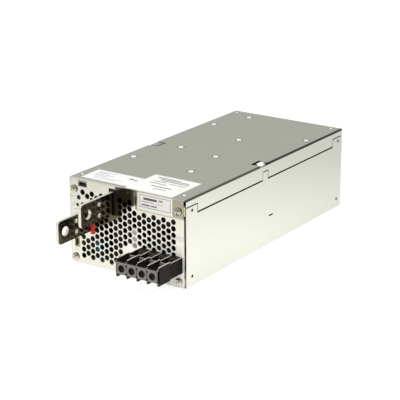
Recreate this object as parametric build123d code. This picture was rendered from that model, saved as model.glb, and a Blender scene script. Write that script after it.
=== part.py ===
from build123d import *
import math
import os

os.makedirs("parts", exist_ok=True)

# A front-terminal switching power supply in a bright folded sheet-metal case.
# Frame: origin at the middle of the case floor, +X to the right seen from the front,
# -Y out of the front panel, +Z up. All lengths are in millimetres.

# Case sheet metal
case_width = 129.0
case_depth = 280.0
case_height = 82.0
chassis_sheet = 1.0
cover_sheet = 0.8
panel_sheet = 1.0
bend_inside = 0.6
seam = 0.75
panel_left_gap = 0.1
panel_right_gap = 1.2
rear_panel_gap = 0.5
panel_top_gap = 0.2
front_return = 16.0
rear_return = 11.0

# Cover flange, its steps over the chassis tabs, the front flap and the lifting cut-outs
cover_flange = 14.5
cover_step = 6.5
front_tab_length = 18.0
rear_tab_length = 19.0
middle_tab_start = 127.4
middle_tab_length = 8.8
flap_left = 12.0
flap_edge = 2.2
flap_drop = 17.0
cutout_start = 122.7
cutout_length = 15.0
cutout_width = 11.3
catch_front_gap = 3.0
catch_rear_gap = 1.0
catch_drop = 0.5
catch_leg = 12.0
catch_reach = 7.5

# Corner ears and screws of the two end panels
ear_past_screw = 4.0
ear_height = 8.0
front_ear_low = 5.4
front_ear_drop = 11.1
rear_ear_low = 5.2
rear_ear_drop = 6.2
screw_left_inset = 5.4
screw_right_inset = 8.0
screw_radius = 2.0
screw_head_radius = 3.7
screw_head_height = 2.2
screw_length = 5.5
screw_play = 0.05
shank_sides = 6
head_sides = 8

# Flush heads and corner screws in the top of the cover
stud_radius = 2.5
stud_sides = 6
stud_depth = 3.4
cover_screw_radius = 1.5
cover_screw_depth = 4.0
cover_screw_left = 6.0
cover_screw_right = 10.0
cover_screw_front = 12.5
cover_screw_rear = 6.0
stud_shares = (
    (0.213, 0.943),
    (0.089, 0.793),
    (0.934, 0.793),
    (0.496, 0.668),
    (0.240, 0.480),
    (0.597, 0.450),
    (0.093, 0.296),
    (0.651, 0.264),
)

# Tapped mounting holes in the side walls and the floor
mount_hole_radius = 1.65
side_hole_front = 10.0
side_hole_rear = 8.3
side_hole_low = 9.5
side_hole_high = 71.0
base_hole_x = 50.0
base_hole_y = 105.0
side_slot_y = 2.5
side_slot_z = 29.0
side_slot_length = 7.0
side_slot_height = 1.5

# Vent mesh of the front panel
vent_radius = 2.6
vent_pitch = 6.1
vent_column = 5.283
vent_first_x = -49.5
vent_first_z = 8.1
vent_columns = 20
vent_rows = 11
vent_sides = 6
vent_land = 0.6
vent_top_margin = 11.0
vent_opening_margin = 0.2
vent_bar_margin = 2.0
lamp_strip = 1.0
flap_low_margin = 1.0
wide_rows_columns = 11
low_rows_columns = 9
low_row_right = 26.0

# Panel openings left of the mesh: signal window, trimmer, lamp and remote socket
signal_window_left = 9.3
signal_window_size = (9.6, 5.5)
signal_window_drop = 1.2
remote_window_left = 3.8
remote_window_size = (5.8, 9.2)
remote_window_low = 15.4
trimmer_left = 9.4
trimmer_drop = 17.6
trimmer_hole_radius = 2.25
lamp_left = 7.9
lamp_drop = 24.8
lamp_hole_radius = 1.65

# Output bars
bar_thickness = 3.0
bar_height = 21.6
bar_reach = 46.8
bar_inside_share = 0.115
bar_corner = 3.5
bar_hole_radius = 4.5
bar_hole_inset = 9.7
bar_small_radius = 2.1
bar_small_inset = 25.6
bar_small_spacing = 10.3
bar_leg_width = 9.0
positive_bar_left = 21.6
positive_bar_z = 44.4
bar_spacing = 26.1
negative_bar_drop = 17.1
bushing_wall = 2.3
bushing_low = 0.8
bushing_high = 2.8
bushing_proud = 0.3
bushing_depth = 2.0
bushing_play = 0.1
flange_side = 3.4
flange_end = 2.4
flange_proud = 1.5
support_wall = 3.0
support_setback = 7.2
support_length = 9.0
support_grip = 6.0
support_foot = 3.0

# Terminal block
pole_count = 4
pole_pitch = 11.0
barrier = 1.0
block_inset = 25.45
base_low = 14.4
base_high = 29.2
base_wall = 6.0
base_length = 17.4
plug_inset = 2.4
plug_depth = 3.0
cover_gap = 0.3
cover_length = 19.8
cover_face_low = 16.6
cover_face_high = 28.0
cover_low = 13.4
cover_high = 30.7
cover_face_wall = 2.6
cover_rib = 1.5
cover_rib_height = 4.0
cover_hole_radius = 3.4
cover_chamfer = 1.8
cover_foot_chamfer = 1.2
latch_length = 4.5
latch_width = 1.2
latch_height = 3.0
terminal_z = 22.0
plate_width = 8.4
plate_height = 11.6
plate_thickness = 1.0
tail_width = 5.0
tail_z = 18.2
tail_setback = 10.2
terminal_screw_radius = 2.0
terminal_head_radius = 3.7
terminal_head_height = 2.6
terminal_washer = 7.6
terminal_washer_thickness = 0.8
terminal_screw_length = 7.0

# Circuit boards
board_thickness = 1.6
board_lift = 6.0
board_side_gap = 3.0
board_front_gap = 5.0
board_rear_gap = 5.0
standoff_radius = 3.0
board_screw_radius = 1.5
board_screw_head = 2.8
board_screw_head_height = 1.8
board_screw_length = 5.0
board_hole_inset = 3.0
board_front_hole = 11.2
board_rear_hole = 5.0
film_thickness = 0.4
film_margin = 2.0
signal_setback = 5.2
signal_board_left = 3.4
signal_board_width = 12.8
signal_board_drop = 1.4
signal_board_wide_gap = 4.0

# Fans at the rear
fan_side_gap = 1.5
fan_middle_gap = 2.0
fan_ear_gap = 1.3
fan_depth = 25.0
fan_corner = 2.5
duct_wall = 1.4
duct_sides = 12
fan_hole_inset = 5.0
fan_hole_radius = 2.15
motor_mount_radius = 13.0
motor_mount_depth = 2.5
strut_width = 3.0
bearing_radius = 3.6
bearing_length = 13.0
shaft_radius = 1.5
shaft_play = 0.05
pin_sides = 8
hub_radius = 14.0
hub_sides = 8
mount_sides = 8
hub_wall = 1.4
hub_front_gap = 1.2
hub_rear_gap = 1.2
blade_tip_gap = 0.9
blade_count = 5
blade_thickness = 1.2
blade_pitch = 38.0
blade_chord = 15.0
blade_camber = 0.12
grille_ring_shares = (0.332, 0.577, 0.647, 0.909)
grille_sides = 8
grille_spoke = 2.2
fan_screw_radius = 2.0
fan_screw_head = 3.5
fan_screw_head_height = 1.8
fan_screw_length = 6.0

# Signal parts behind the front panel
signal_play = 0.4
trimmer_size = 6.6
trimmer_front_gap = 0.6
rotor_radius = 1.8
rotor_play = 0.05
rotor_sides = 12
rotor_proud = 0.3
rotor_depth = 3.0
rotor_slot = 0.6
lamp_radius = 1.5
lamp_collar = 1.9
lamp_collar_height = 1.0
lamp_recess = 0.2
window_recess = 0.4
pin_size = 0.7
pin_pitch = 2.0
socket_wall = 1.0
socket_floor = 1.2
pin_recess = 0.8

# Inner width, which the pieces inside follow: they are placed and sized in shares of it
inner_width = case_width - 2 * chassis_sheet

# Line filter behind the terminal block
shield_x = 0.028 * inner_width
shield_thickness = 1.2
shield_setback = 7.2
shield_length = 0.168 * case_depth
shield_height = 34.0
shield_foot = 0.056 * inner_width
line_choke_x = 0.216 * inner_width
line_choke_y = -0.3714 * case_depth
line_choke_outer = 0.148 * inner_width
line_choke_inner = 0.084 * inner_width
line_choke_depth = 0.057 * case_depth
line_choke_turns = 3
choke_wire = 2.0
choke_lift = 5.0
line_choke_spread = 130.0
rib_gap = 0.6
toroid_sides = 12
carrier_depth = 0.0714 * case_depth
carrier_width = 0.24 * inner_width
film_capacitor_width = 0.072 * inner_width
film_capacitor_length = 0.0857 * case_depth
film_capacitor_height = 17.0
film_capacitor_shares = ((0.424, -0.2857), (0.16, -0.2821), (0.072, -0.2071))
fuse_x = 0.392 * inner_width
fuse_y = -0.382 * case_depth
fuse_radius = 3.0
fuse_length = 0.0786 * case_depth
fuse_cap = 5.0
fuse_lift = 3.0
relay_width = 0.096 * inner_width
relay_length = 0.0857 * case_depth
relay_height = 15.0
relay_x = 0.304 * inner_width
relay_y = -0.2821 * case_depth

# Power factor and primary side
pfc_choke_x = 0.288 * inner_width
pfc_choke_y = -0.1714 * case_depth
pfc_choke_outer = 0.16 * inner_width
pfc_choke_inner = 0.088 * inner_width
pfc_choke_depth = 0.0643 * case_depth
pfc_choke_turns = 6
bulk_radius = 0.14 * inner_width
bulk_height = 52.0
bulk_x = 0.288 * inner_width
bulk_shares = (0.0018, 0.1414, 0.2811)
bulk_sides = 10
sink_base = 3.0
sink_fin = 1.4
sink_fin_count = 5
output_fin_count = 7
primary_sink_x = 0.048 * inner_width
primary_sink_front = -0.1429 * case_depth
primary_sink_rear = 0.3429 * case_depth
primary_sink_height = 46.0
primary_sink_depth = 0.072 * inner_width
package_size = (4.8, 14.0, 20.0)
package_shares = (-0.0929, -0.0143, 0.0643, 0.1429)
package_lift = 12.0
lead_size = 1.2
lead_pitch = 5.4
bridge_size = (4.8, 30.0, 20.0)
bridge_y = 0.2643 * case_depth

# Secondary side
transformer_x = -0.192 * inner_width
transformer_y = 0.1071 * case_depth
transformer_size = (0.336 * inner_width, 0.1571 * case_depth, 40.0)
transformer_window = 24.0
transformer_leg = 0.072 * inner_width
side_limb_share = 0.7
coil_play = 0.2
coil_chamfer = 3.0
bobbin_flange = 1.2
bobbin_rim = 1.0
coil_overhang = 7.0
output_choke_x = -0.192 * inner_width
output_choke_y = -0.1643 * case_depth
output_choke_size = (0.304 * inner_width, 0.1214 * case_depth, 30.0)
output_choke_window = 18.0
output_choke_leg = 0.064 * inner_width
output_sink_x = -0.192 * inner_width
output_sink_y = -0.0429 * case_depth
output_sink_size = (0.352 * inner_width, 0.05 * case_depth, 42.0)
output_package_pitch = 0.1264 * inner_width
output_can_radius = 0.064 * inner_width
output_can_height = 25.0
output_can_shares_x = (-0.404, -0.26, -0.116)
output_can_shares_y = (-0.3429, -0.2786)
can_sides = 8
control_board_x = -0.412 * inner_width
control_board_front = -0.0714 * case_depth
control_board_rear = 0.3429 * case_depth
control_board_height = 44.0
control_chip_spots = (
    (-0.0143, 26.0, 14.0),
    (0.0786, 26.0, 10.0),
    (0.1786, 24.0, 16.0),
    (0.2786, 28.0, 10.0),
)
chip_height = 9.0
chip_depth = 2.4

# Labels
label_thickness = 0.15
top_label_a = (-54.0, -1.5, 5.0, 31.5)
top_label_b = (-1.5, 49.0, 1.2, 48.0)
front_label_left = 1.2
front_label_right = 11.7
front_label_height = 13.6
front_label_drop = 1.0

# Positions worked out from the case
half_width = case_width / 2
front_y = -case_depth / 2
rear_y = case_depth / 2
panel_front = front_y + cover_sheet
panel_back = panel_front + panel_sheet
rear_panel_front = rear_y - panel_sheet
wall_inside = half_width - chassis_sheet
panel_left = panel_left_gap - wall_inside
panel_right = wall_inside - panel_right_gap
rear_panel_half = wall_inside - rear_panel_gap
flap_right = half_width - flap_edge
panel_screw_x = (screw_left_inset - half_width, half_width - screw_right_inset)
front_ear_z = (front_ear_low, case_height - front_ear_drop)
rear_ear_z = (rear_ear_low, case_height - rear_ear_drop)
negative_bar_z = case_height - negative_bar_drop
positive_bar_x = panel_left + positive_bar_left
negative_bar_x = positive_bar_x + bar_spacing
block_x = wall_inside - block_inset
cover_underside = case_height - cover_sheet
panel_top = cover_underside - panel_top_gap
wall_top = case_height - cover_flange - seam
tab_top = case_height - cover_step - seam
middle_tab_y = front_y + middle_tab_start
board_low = chassis_sheet + board_lift
board_top = board_low + board_thickness
base_front = panel_front - base_length
contact_y = panel_front - base_wall
cover_rear_y = base_front - cover_gap
cover_front_y = cover_rear_y - cover_length
block_width = pole_count * pole_pitch + barrier
bar_tip_y = panel_front - bar_reach
bar_inner_y = panel_back + bar_inside_share * case_depth
support_front = panel_back + support_setback
tail_end_y = panel_back + tail_setback
shield_front = panel_back + shield_setback
shield_rear = shield_front + shield_length
block_left = block_x - block_width / 2
pole_x = [block_left + barrier / 2 + pole_pitch * (i + 0.5) for i in range(pole_count)]
barrier_x = [block_left + pole_pitch * i for i in range(pole_count + 1)]
fan_front_y = rear_panel_front - fan_depth
fan_low = rear_ear_z[0] + ear_height / 2 + fan_ear_gap
fan_high = rear_ear_z[1] - ear_height / 2 - fan_ear_gap
fan_size = min(wall_inside - fan_side_gap - fan_middle_gap / 2, fan_high - fan_low)
fan_x = (fan_size + fan_middle_gap) / 2
fan_z = (fan_low + fan_high) / 2
fan_hole_spacing = fan_size - 2 * fan_hole_inset
duct_radius = fan_size / 2 - duct_wall
board_half = wall_inside - board_side_gap
board_front_y = panel_back + board_front_gap
board_rear_y = fan_front_y - board_rear_gap
board_holes_x = board_half - board_hole_inset
board_hole_front = board_front_y + board_front_hole
board_hole_rear = board_rear_y - board_rear_hole
half_turn = choke_wire * 0.6
lowest_turn_x = line_choke_outer * math.cos(math.radians(line_choke_spread / 2))
carrier_rib = 2 * (lowest_turn_x - half_turn - rib_gap)
signal_board_y = panel_back + signal_setback
lamp_tip_y = panel_front + lamp_recess
trimmer_x = panel_left + trimmer_left
trimmer_z = panel_top - trimmer_drop
lamp_x = panel_left + lamp_left
lamp_z = panel_top - lamp_drop


def window_area(left, size, low):
    """Edges of a panel window whose left edge is measured from the panel's left edge."""
    return (panel_left + left, panel_left + left + size[0], low, low + size[1])


signal_window = window_area(
    signal_window_left, signal_window_size, panel_top - signal_window_drop - signal_window_size[1]
)
remote_window = window_area(remote_window_left, remote_window_size, remote_window_low)


def block(x0, x1, y0, y1, z0, z1):
    """A rectangular solid between two corners."""
    return Pos((x0 + x1) / 2, (y0 + y1) / 2, (z0 + z1) / 2) * Box(x1 - x0, y1 - y0, z1 - z0)


def area(x0, x1, y0, y1):
    """A rectangle between two corners of a sketch."""
    return Pos((x0 + x1) / 2, (y0 + y1) / 2) * Rectangle(x1 - x0, y1 - y0)


def along_x(profile, x0, x1):
    """Extrude a Y-Z profile from x0 to x1."""
    return extrude(Plane.YZ.offset(x0) * profile, x1 - x0)


def along_y(profile, y0, y1):
    """Extrude an X-Z profile from y0 to y1."""
    return extrude(Plane.XZ.offset(-y1) * profile, y1 - y0)


def along_z(profile, z0, z1):
    """Extrude an X-Y profile from z0 to z1."""
    return extrude(Plane.XY.offset(z0) * profile, z1 - z0)


def prism(radius, sides):
    """A regular outline for small round things that repeat."""
    return RegularPolygon(radius, sides)


def round_bore(radius, sides):
    """A regular outline whose flats stand clear of a round pin of the given radius."""
    return RegularPolygon(radius, sides, major_radius=False)


def save(shape, name):
    """Write one sub-part under its own name."""
    shape.label = name
    export_step(shape, f"parts/{name}.step")


def channel_profile(width, height, sheet):
    """Section of a sheet folded up along both long edges, open at the top."""
    outer = area(-width / 2, width / 2, 0, height)
    outer = fillet(outer.vertices().sort_by(Axis.Y)[:2], bend_inside + sheet)
    inner = area(-width / 2 + sheet, width / 2 - sheet, sheet, height)
    inner = fillet(inner.vertices().sort_by(Axis.Y)[:2], bend_inside)
    return outer - inner


def screw_hole():
    """Clearance outline for the shank of a panel screw."""
    return prism(screw_radius + screw_play, shank_sides)


def corner_ears(heights, y0, y1):
    """Four lanced ears that take the screws of one end panel."""
    ears = []
    for side, x in zip((-1, 1), panel_screw_x):
        for z in heights:
            x_edges = sorted((side * wall_inside, x - side * ear_past_screw))
            low = max(z - ear_height / 2, chassis_sheet)
            ear = block(x_edges[0], x_edges[1], y0, y1, low, z + ear_height / 2)
            ears.append(ear - along_y(Pos(x, z) * screw_hole(), y0, y1))
    return ears


def chassis():
    """Floor and both side walls folded from one sheet, with ears, tabs and mounting holes."""
    body = along_y(channel_profile(case_width, tab_top, chassis_sheet), panel_front, rear_y)
    first = front_y + front_tab_length
    last = rear_y - rear_tab_length
    for y0, y1 in ((first, middle_tab_y), (middle_tab_y + middle_tab_length, last)):
        body -= block(-case_width, case_width, y0, y1, wall_top, case_height)
    floor_top = bend_inside + chassis_sheet
    body -= block(panel_left, panel_right, panel_front, panel_back, -1, floor_top)
    body -= block(-rear_panel_half, rear_panel_half, rear_panel_front, rear_y, -1, floor_top)
    body += corner_ears(front_ear_z, panel_back, panel_back + chassis_sheet)
    body += corner_ears(rear_ear_z, rear_panel_front - chassis_sheet, rear_panel_front)
    side_holes = Sketch()
    for y in (front_y + side_hole_front, rear_y - side_hole_rear):
        for z in (side_hole_low, side_hole_high):
            side_holes += Pos(y, z) * prism(mount_hole_radius, shank_sides)
    side_holes += Pos(side_slot_y, side_slot_z) * Rectangle(side_slot_length, side_slot_height)
    body -= along_x(side_holes, -case_width, case_width)
    base_holes = Sketch()
    for x in (-base_hole_x, base_hole_x):
        for y in (-base_hole_y, base_hole_y):
            base_holes += Pos(x, y) * Circle(mount_hole_radius)
    return body - along_z(base_holes, -1, chassis_sheet + 1)


def stud_points():
    """Flush heads in the cover, in shares of its width and depth from the left front corner."""
    return [(x * case_width - half_width, y * case_depth + front_y) for x, y in stud_shares]


def cover_screw_points():
    """The four corner screws of the cover."""
    return [
        (x, y)
        for x in (-half_width + cover_screw_left, half_width - cover_screw_right)
        for y in (front_y + cover_screw_front, rear_y - cover_screw_rear)
    ]


def top_cover():
    """Top sheet with two folded flanges, a front flap, two cut-outs and its screw holes."""
    profile = channel_profile(case_width, cover_flange, cover_sheet)
    shell = along_y(mirror(profile, Plane.XZ), panel_front, rear_y)
    shell = Pos(0, 0, case_height) * shell
    low = case_height - cover_flange - 1
    step_z = case_height - cover_step
    first = front_y + front_tab_length + seam
    last = rear_y - rear_tab_length - seam
    shell -= block(-case_width, case_width, front_y - 1, first, low, step_z)
    shell -= block(-case_width, case_width, last, rear_y + 1, low, step_z)
    middle_end = middle_tab_y + middle_tab_length + seam
    shell -= block(-case_width, case_width, middle_tab_y - seam, middle_end, low, step_z)
    cut_y = front_y + cutout_start
    cut_z = case_height - cover_sheet - bend_inside
    for side in (-1, 1):
        x_edges = sorted((side * (half_width - cutout_width), side * (half_width + 1)))
        shell -= block(x_edges[0], x_edges[1], cut_y, cut_y + cutout_length, cut_z, case_height + 1)
    flap = block(flap_left, flap_right, front_y, panel_front, case_height - flap_drop, case_height)
    flap_top = flap.edges().filter_by(Axis.X).sort_by(Axis.Z)[-2:].sort_by(Axis.Y)[0]
    shell += fillet(flap_top, cover_sheet * 0.9)
    holes = Sketch()
    for x, y in stud_points():
        holes += Pos(x, y) * prism(stud_radius, stud_sides)
    for x, y in cover_screw_points():
        holes += Pos(x, y) * prism(cover_screw_radius, shank_sides)
    shell -= along_z(holes, cover_underside - 1, case_height + 1)
    flap_hole = Pos(panel_screw_x[1], front_ear_z[1]) * screw_hole()
    return shell - along_y(flap_hole, front_y - 1, panel_front + 1)


def cover_studs():
    """Clinched studs whose flush heads show in the top of the cover."""
    studs = Part()
    for x, y in stud_points():
        outline = prism(stud_radius, stud_sides)
        studs += Pos(x, y) * along_z(outline, case_height - stud_depth, case_height)
    return studs


def cover_screws():
    """Countersunk corner screws that pull the cover down on the panel returns."""
    screws = Part()
    for x, y in cover_screw_points():
        low = case_height - cover_screw_depth
        screws += Pos(x, y) * along_z(prism(cover_screw_radius, shank_sides), low, case_height)
    return screws


def lifting_catches():
    """Small angle brackets fixed to the side walls under the cut-outs of the cover."""
    catches = Part()
    y0 = front_y + cutout_start + catch_front_gap
    y1 = front_y + cutout_start + cutout_length - catch_rear_gap
    top = case_height - catch_drop
    for side in (-1, 1):
        leg = sorted((side * (wall_inside - chassis_sheet), side * wall_inside))
        arm = sorted((side * (wall_inside - catch_reach), side * wall_inside))
        upright = block(leg[0], leg[1], y0, y1, tab_top - catch_leg, top)
        shelf = block(arm[0], arm[1], y0, y1, top - chassis_sheet, top)
        catches += upright + shelf
    return catches


def vent_keepouts():
    """Panel areas that stay closed between the vent holes: x0, x1, z0, z1."""
    zones = []
    for x, z in ((positive_bar_x, positive_bar_z), (negative_bar_x, negative_bar_z)):
        half_x = bar_thickness / 2 + vent_bar_margin
        half_z = bar_height / 2 + vent_bar_margin
        zones.append((x - half_x, x + half_x, z - half_z, z + half_z))
    reach = vent_radius + vent_land
    low_right = vent_first_x + vent_column * (low_rows_columns - 0.5) + reach
    zones.append((low_right, half_width, 0, low_row_right))
    narrow = vent_first_x + vent_column * (wide_rows_columns - 0.5) + reach
    flap_low = case_height - flap_drop - flap_low_margin
    zones.append((narrow, half_width, flap_low, case_height))
    zones.append(signal_window)
    zones.append(remote_window)
    for x in panel_screw_x:
        for z in front_ear_z:
            edge = screw_head_radius
            zones.append((x - edge, x + edge, z - edge, z + edge))
    for x, z, r in ((trimmer_x, trimmer_z, trimmer_hole_radius), (lamp_x, lamp_z, lamp_hole_radius)):
        edge = r + vent_opening_margin
        zones.append((x - edge, x + r + lamp_strip, z - edge, z + edge))
    return zones


def blocked(x, z, zones):
    """Whether a vent hole at this place would meet one of the closed areas."""
    reach = vent_radius + vent_land
    for x0, x1, z0, z1 in zones:
        if x0 - reach < x < x1 + reach and z0 - reach < z < z1 + reach:
            return True
    return False


def vent_points():
    """Centres of the staggered vent holes, without those that meet a closed area."""
    zones = vent_keepouts()
    points = []
    for column in range(vent_columns):
        offset = vent_pitch / 2 if column % 2 else 0.0
        for row in range(vent_rows):
            x = vent_first_x + vent_column * column
            z = vent_first_z + offset + vent_pitch * row
            if z < panel_top - vent_top_margin and not blocked(x, z, zones):
                points.append((x, z))
    return points


def end_panel_blank(x0, x1, y0, y1, inward, return_length, heights):
    """Flat end panel with a return folded inwards under the cover."""
    sheet = along_y(area(x0, x1, 0, panel_top), y0, y1)
    fold = y0 if inward > 0 else y1
    ends = sorted((fold, fold + inward * return_length))
    lip = block(x0, x1, ends[0], ends[1], panel_top - panel_sheet, panel_top)
    body = sheet + lip
    holes = Sketch()
    for x in panel_screw_x:
        for z in heights:
            holes += Pos(x, z) * screw_hole()
    return body - along_y(holes, y0, y1)


def bar_opening(x, z):
    """Outline of the panel opening round one bar."""
    side = bar_thickness / 2 + bushing_wall
    low = z - bar_height / 2 - bushing_low
    return area(x - side, x + side, low, z + bar_height / 2 + bushing_high)


def front_panel():
    """Front panel with its vent mesh, windows and terminal and bar openings."""
    body = end_panel_blank(
        panel_left, panel_right, panel_front, panel_back, 1, front_return, front_ear_z
    )
    cuts = Sketch()
    for x, z in vent_points():
        cuts += Pos(x, z) * prism(vent_radius, vent_sides)
    cuts += bar_opening(positive_bar_x, positive_bar_z)
    cuts += bar_opening(negative_bar_x, negative_bar_z)
    for x0, x1, z0, z1 in (signal_window, remote_window):
        cuts += area(x0, x1, z0, z1)
    cuts += Pos(trimmer_x, trimmer_z) * prism(trimmer_hole_radius, 8)
    cuts += Pos(lamp_x, lamp_z) * prism(lamp_hole_radius, 8)
    plug_right = block_left + block_width - plug_inset
    cuts += area(block_left + plug_inset, plug_right, base_low + plug_inset, base_high - plug_inset)
    body -= along_y(cuts, panel_front - 1, panel_back + 1)
    screw_holes = Sketch()
    for x, y in cover_screw_points():
        screw_holes += Pos(x, y) * prism(cover_screw_radius, shank_sides)
    return body - along_z(screw_holes, panel_top - 2, case_height)


def fan_grille():
    """Ring slots of one fan outlet, cut through by four spokes."""
    slots = Sketch()
    rings = [share * duct_radius for share in grille_ring_shares]
    for inner, outer in zip(rings[0::2], rings[1::2]):
        slots += prism(outer, grille_sides) - prism(inner, grille_sides)
    for angle in (45, 135):
        slots -= Rot(0, 0, angle) * Rectangle(fan_size, grille_spoke)
    return slots


def fan_hole_points():
    """Screw positions of both fans: each fan is held at two opposite corners."""
    half = fan_hole_spacing / 2
    return [(side * fan_x + d, fan_z + d) for side in (-1, 1) for d in (-half, half)]


def rear_panel():
    """Rear panel with two stamped ring grilles and the fan screw holes."""
    half = rear_panel_half
    body = end_panel_blank(-half, half, rear_panel_front, rear_y, -1, rear_return, rear_ear_z)
    cuts = Sketch()
    for side in (-1, 1):
        cuts += Pos(side * fan_x, fan_z) * fan_grille()
    for x, z in fan_hole_points():
        cuts += Pos(x, z) * prism(fan_screw_radius + screw_play, shank_sides)
    body -= along_y(cuts, rear_panel_front - 1, rear_y + 1)
    screw_holes = Sketch()
    for x, y in cover_screw_points():
        screw_holes += Pos(x, y) * prism(cover_screw_radius, shank_sides)
    return body - along_z(screw_holes, panel_top - 2, case_height)


def pan_screw(seat, outward):
    """A pan-head screw along Y, its head on the outer side of its seat."""
    shank_y = sorted((seat, seat - outward * screw_length))
    head_y = sorted((seat, seat + outward * screw_head_height))
    shank = along_y(prism(screw_radius, shank_sides), shank_y[0], shank_y[1])
    return shank + along_y(prism(screw_head_radius, head_sides), head_y[0], head_y[1])


def panel_screws():
    """Pan-head screws of both end panels: the upper right front one sits on the flap."""
    screws = Part()
    for x in panel_screw_x:
        for z in front_ear_z:
            on_flap = x > flap_left and z > case_height - flap_drop
            seat = front_y if on_flap else panel_front
            screws += Pos(x, 0, z) * pan_screw(seat, -1)
        for z in rear_ear_z:
            screws += Pos(x, 0, z) * pan_screw(rear_y, 1)
    return screws


def busbar(x, z):
    """One output bar: plated plate on edge with bolt holes, and a leg down to the board."""
    low = z - bar_height / 2
    high = z + bar_height / 2
    blade = area(bar_tip_y, bar_inner_y, low, high)
    blade = fillet(blade.vertices().sort_by(Axis.X)[:2], bar_corner)
    leg = area(bar_inner_y - bar_leg_width, bar_inner_y, board_top, high)
    blade += leg
    blade -= Pos(bar_tip_y + bar_hole_inset, z) * Circle(bar_hole_radius)
    for dz in (-bar_small_spacing / 2, bar_small_spacing / 2):
        blade -= Pos(bar_tip_y + bar_small_inset, z + dz) * prism(bar_small_radius, 8)
    return along_x(blade, x - bar_thickness / 2, x + bar_thickness / 2)


def bar_bushing(x, z):
    """Moulded sleeve that insulates one bar from its panel opening."""
    sleeve = offset(bar_opening(x, z), -bushing_play, kind=Kind.INTERSECTION)
    body = along_y(sleeve, panel_front - bushing_proud, panel_back + bushing_depth)
    through = Pos(x, z) * Rectangle(bar_thickness, bar_height)
    return body - along_y(through, bar_tip_y, bar_inner_y)


def flanged_bushing(x, z):
    """The same sleeve with a flange on the panel at the right side of the bar."""
    x0 = x + bar_thickness / 2
    low = z - bar_height / 2 - flange_end
    high = z + bar_height / 2 + flange_end
    flange = area(x0, x0 + flange_side, low, high)
    return bar_bushing(x, z) + along_y(flange, panel_front - flange_proud, panel_front)


def busbar_support():
    """Moulded foot on the board with one slotted pillar under each bar."""
    y0 = support_front
    y1 = support_front + support_length
    left = positive_bar_x - bar_thickness / 2 - support_wall
    right = negative_bar_x + bar_thickness / 2 + support_wall
    body = block(left, right, y0, y1, board_top, board_top + support_foot)
    for x, z in ((positive_bar_x, positive_bar_z), (negative_bar_x, negative_bar_z)):
        half = bar_thickness / 2 + support_wall
        top = z - bar_height / 2 + support_grip
        body += block(x - half, x + half, y0, y1, board_top, top)
    for x, z in ((positive_bar_x, positive_bar_z), (negative_bar_x, negative_bar_z)):
        half = bar_thickness / 2
        body -= block(x - half, x + half, y0 - 1, y1 + 1, z - bar_height / 2, case_height)
    return body


def terminal_base():
    """Barrier strip moulding: contact wall, barriers, floor and the plug through the panel."""
    left = block_left
    right = block_left + block_width
    body = block(left, right, contact_y, panel_front, base_low, base_high)
    for x in barrier_x:
        body += block(x, x + barrier, base_front, panel_front, base_low, base_high)
    plug_high = base_high - plug_inset - screw_play
    body += block(
        left + plug_inset + screw_play,
        right - plug_inset - screw_play,
        panel_front,
        panel_front + plug_depth,
        base_low + plug_inset + screw_play,
        plug_high,
    )
    for x in pole_x:
        half = tail_width / 2
        low = tail_z - plate_thickness / 2
        body -= block(x - half, x + half, contact_y - 1, tail_end_y, low, low + plate_thickness)
        bore = Pos(x, terminal_z) * prism(terminal_screw_radius + screw_play, shank_sides)
        body -= along_y(bore, contact_y, contact_y + terminal_screw_length - plate_thickness)
    return body


def terminal_plates():
    """Tinned contact plates, each with a tail bent down into the board."""
    plates = Part()
    for x in pole_x:
        half = plate_width / 2
        low = terminal_z - plate_height / 2
        face = block(x - half, x + half, contact_y - plate_thickness, contact_y, low, low + plate_height)
        bore = Pos(x, terminal_z) * prism(terminal_screw_radius + screw_play, shank_sides)
        face -= along_y(bore, contact_y - plate_thickness, contact_y)
        half = tail_width / 2
        tail_low = tail_z - plate_thickness / 2
        tail_high = tail_low + plate_thickness
        tail = block(x - half, x + half, contact_y - plate_thickness, tail_end_y, tail_low, tail_high)
        leg = block(x - half, x + half, tail_end_y - plate_thickness, tail_end_y, board_top, tail_high)
        plates += face + tail + leg
    return plates


def terminal_screws():
    """Terminal screws with captive washers, backed out to the wire clamping height."""
    screws = Part()
    for x in pole_x:
        seat = contact_y - plate_thickness
        washer_y = seat - terminal_washer_thickness
        tip_y = seat + terminal_screw_length - plate_thickness
        screw = along_y(prism(terminal_screw_radius, shank_sides), seat, tip_y)
        screw += along_y(Rectangle(terminal_washer, terminal_washer), washer_y, seat)
        head_y = washer_y - terminal_head_height
        screw += along_y(prism(terminal_head_radius, head_sides), head_y, washer_y)
        screws += Pos(x, 0, terminal_z) * screw
    return screws


def terminal_cover():
    """Clip-on terminal cover: barriers, front wall with access holes, rear rib and latches."""
    profile = area(cover_front_y, cover_rear_y, cover_low, cover_high)
    front_corners = profile.vertices().sort_by(Axis.X)[:2].sort_by(Axis.Y)
    profile = chamfer(front_corners[1], cover_chamfer)
    lower = profile.vertices().sort_by(Axis.Y)[:2].sort_by(Axis.X)[0]
    profile = chamfer(lower, cover_foot_chamfer)
    body = Part()
    for x in barrier_x:
        body += along_x(profile, x, x + barrier)
    left = block_left
    right = block_left + block_width
    wall_y = cover_front_y + cover_face_wall
    wall = block(left, right, cover_front_y, wall_y, cover_face_low, cover_face_high)
    rib_low = cover_face_high - cover_rib_height
    rib = block(left, right, cover_rear_y - cover_rib, cover_rear_y, rib_low, cover_face_high)
    body += wall
    body += rib
    for i in (0, pole_count - 1):
        inner = barrier_x[i] + barrier + 0.4 if i == 0 else barrier_x[i + 1] - latch_width - 0.4
        low = rib_low
        body += block(
            inner, inner + latch_width, cover_rear_y - cover_rib, cover_rear_y + latch_length, low,
            low + latch_height,
        )
    holes = Sketch()
    for x in pole_x:
        holes += Pos(x, terminal_z) * prism(cover_hole_radius, can_sides)
    return body - along_y(holes, cover_front_y - 1, wall_y)


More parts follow.
